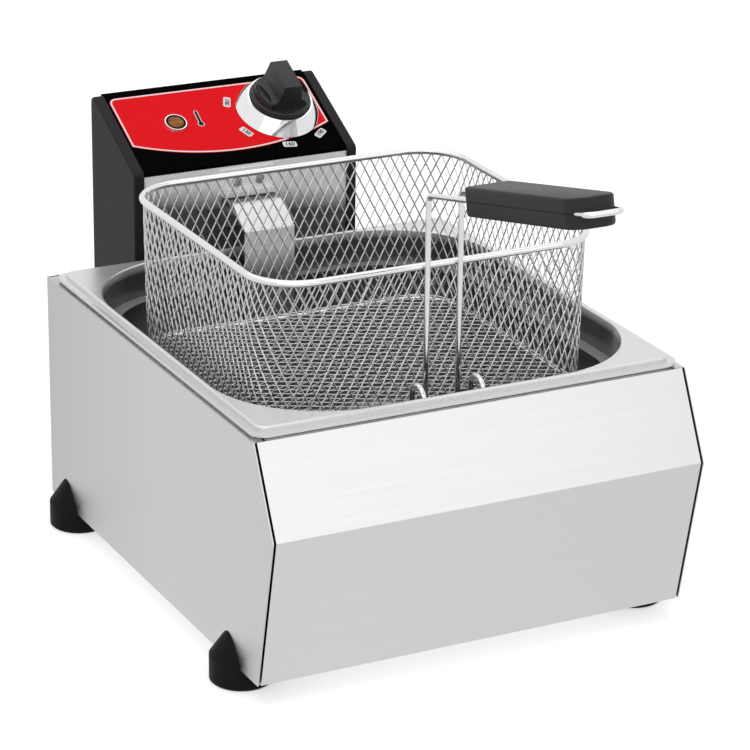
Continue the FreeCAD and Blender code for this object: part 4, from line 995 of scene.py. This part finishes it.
clear_selection()
bpy.ops.mesh.primitive_cylinder_add(vertices=KNOB_SIDES, radius=KNOB_RADIUS, depth=SKIRT_HEIGHT,
                                    location=(0, 0, SKIRT_HEIGHT / 2))
skirt = settle(named("knob_skirt"))
edit(skirt, "EDGE")
round_edges(skirt, SKIRT_ROUND, lambda e: min(v.co.z for v in e.verts) > SKIRT_HEIGHT - SAME_PLACE)
done()
print("skirt faces", len(skirt.data.polygons))

# %% Body with straight ends
KNOB_HEIGHT = 0.036
BODY_FOOT = 0.006
BODY_RADII = (0.0230, 0.0174)
BAR_END = 0.0152

clear_selection()
bpy.ops.mesh.primitive_cone_add(vertices=KNOB_SIDES, radius1=BODY_RADII[0], radius2=BODY_RADII[1],
                                depth=KNOB_HEIGHT - BODY_FOOT,
                                location=(0, 0, (KNOB_HEIGHT + BODY_FOOT) / 2))
knob = settle(named("dial_knob"))
edit(knob)
for side in (-1, 1):
    bpy.ops.mesh.select_all(action="SELECT")
    bpy.ops.mesh.bisect(plane_co=(0, side * BAR_END, 0), plane_no=(0, side, 0), clear_outer=True,
                        use_fill=True)
done()
print("knob body faces", len(knob.data.polygons))

# %% Flanks of the bar
BAR_HALF_TOP = 0.0068
BAR_HALF_FOOT = 0.0102
LOBE_LEVEL = 0.0200
FLANK_ROUND = (0.0035, 6)
FLANK_FAR = 2 * KNOB_RADIUS
FLANK_TOP = KNOB_HEIGHT + 0.001


def inner_foot(edge):
    low = max(v.co.z for v in edge.verts) < LOBE_LEVEL + SAME_PLACE
    return low and abs(abs(middle(edge).x) - BAR_HALF_FOOT) < SAME_PLACE


def flank_wedge(side):
    clear_selection()
    bpy.ops.mesh.primitive_cube_add(size=2, location=(0, 0, 0))
    wedge = named("knob_flank")
    edit(wedge, "VERT")
    for vert in bmesh.from_edit_mesh(wedge.data).verts:
        top = vert.co.z > 0
        inner = vert.co.x * side < 0
        near = BAR_HALF_TOP if top else BAR_HALF_FOOT
        vert.co.x = side * (near if inner else FLANK_FAR)
        vert.co.y = math.copysign(FLANK_FAR, vert.co.y)
        vert.co.z = FLANK_TOP if top else LOBE_LEVEL
    bpy.ops.mesh.select_mode(type="EDGE")
    round_edges(wedge, FLANK_ROUND, inner_foot)
    done()
    return wedge


print("bar width at its top", 2 * BAR_HALF_TOP)

# %% Dimples of the lobes
DIMPLE_PLACE = (0.0166, 0.0020, 0.0204)
DIMPLE_RADII = (0.0033, 0.0106, 0.0042)
DIMPLE_TURN = math.radians(8.6)
DIMPLE_SIDES = (48, 24)


def lobe_dimple(side):
    clear_selection()
    bpy.ops.mesh.primitive_uv_sphere_add(segments=DIMPLE_SIDES[0], ring_count=DIMPLE_SIDES[1], radius=1)
    dimple = named("knob_dimple")
    dimple.scale = DIMPLE_RADII
    dimple.rotation_euler.z = DIMPLE_TURN
    dimple.location = (side * DIMPLE_PLACE[0], side * DIMPLE_PLACE[1], DIMPLE_PLACE[2])
    return settle(dimple)


for side in (-1, 1):
    carve(knob, flank_wedge(side))
    carve(knob, lobe_dimple(side))
print("knob faces after carving", len(knob.data.polygons))

# %% Finished knob
KNOB_BASE = 0.0012
KNOB_EDGE = (0.0009, 3)
SHARP_ANGLE = math.radians(40)

apply_modifier(knob, "BEVEL", width=KNOB_EDGE[0], segments=KNOB_EDGE[1], limit_method="ANGLE",
               angle_limit=SHARP_ANGLE)
carve(knob, skirt, "UNION")
smooth(knob)
knob.data.transform(Matrix.Translation((*DIAL, KNOB_BASE)))
onto_panel(knob)
dress(knob, "knob_plastic", "knob")
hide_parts("control_knob")
print("knob faces", len(knob.data.polygons))

# %% [markdown]
# ## Grip
# The grip is two moulded halves that close round the wire, so a fine groove runs along it. One block with a
# groove cut in would do for the eye, but two halves come apart as the real ones do. Each is a cube with its
# front corners well rounded, its outer edges softened, and a small chamfer where the halves meet.

# %% Grip half
GRIP_START = 0.060
GRIP_LENGTH = 0.1425
GRIP_WIDTH = 0.035
GRIP_HALF_HEIGHT = 0.010
GRIP_FRONT = -GRIP_START - GRIP_LENGTH
FRONT_ROUND = (0.013, 10)
REAR_ROUND = (0.003, 4)
OUTER_ROUND = (0.002, 4)
SEAM_CHAMFER = (0.0005, 1)
UPRIGHT_LEAST = 0.005
END_REACH = 1e-4


def upright(edge):
    return abs((edge.verts[0].co - edge.verts[1].co).z) > UPRIGHT_LEAST


def grip_half(name, side):
    clear_selection()
    bpy.ops.mesh.primitive_cube_add(size=1)
    half = named(name)
    half.scale = (GRIP_WIDTH, GRIP_LENGTH, GRIP_HALF_HEIGHT)
    half.location = (0, -GRIP_START - GRIP_LENGTH / 2, side * GRIP_HALF_HEIGHT / 2)
    settle(half)
    outer = GRIP_HALF_HEIGHT - SAME_PLACE
    edit(half, "EDGE")
    round_edges(half, FRONT_ROUND, lambda e: upright(e) and middle(e).y < GRIP_FRONT + END_REACH)
    round_edges(half, REAR_ROUND, lambda e: upright(e) and middle(e).y > -GRIP_START - END_REACH)
    round_edges(half, OUTER_ROUND, lambda e: min(side * v.co.z for v in e.verts) > outer)
    round_edges(half, SEAM_CHAMFER, lambda e: max(side * v.co.z for v in e.verts) < SAME_PLACE)
    done()
    return half


print("grip length", GRIP_LENGTH)

# %% Both halves with the screw recesses
GRIP_ROOT = (0.0, -0.1025, 0.3235)
GRIP_TILT = math.radians(12.9)
ONTO_HANDLE = Matrix.Translation(GRIP_ROOT) @ Matrix.Rotation(-GRIP_TILT, 4, "X")
SCREW_INSET = 0.024
GRIP_SCREWS = (GRIP_START + SCREW_INSET, GRIP_START + GRIP_LENGTH - SCREW_INSET)
RECESS_RADIUS = 0.0041
RECESS_DEPTH = 0.0024
RECESS_SIDES = 40


def screw_recess(half, along):
    clear_selection()
    bpy.ops.mesh.primitive_cylinder_add(vertices=RECESS_SIDES, radius=RECESS_RADIUS, depth=2 * RECESS_DEPTH,
                                        location=(0, -along, -GRIP_HALF_HEIGHT))
    carve(half, settle(named("grip_recess")))


for name, side, node in (("grip_shell_upper", 1, "grip_upper"), ("grip_shell_lower", -1, "grip_lower")):
    half = grip_half(name, side)
    if side < 0:
        for along in GRIP_SCREWS:
            screw_recess(half, along)
    smooth(half)
    half.data.transform(ONTO_HANDLE)
    dress(half, "grip_plastic", "basket")
    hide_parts(node)
    print(name, len(half.data.polygons), "faces")

# %% [markdown]
# The Standard view shows each colour about as it is written.

# %% Finish
bpy.context.scene.view_settings.view_transform = "Standard"
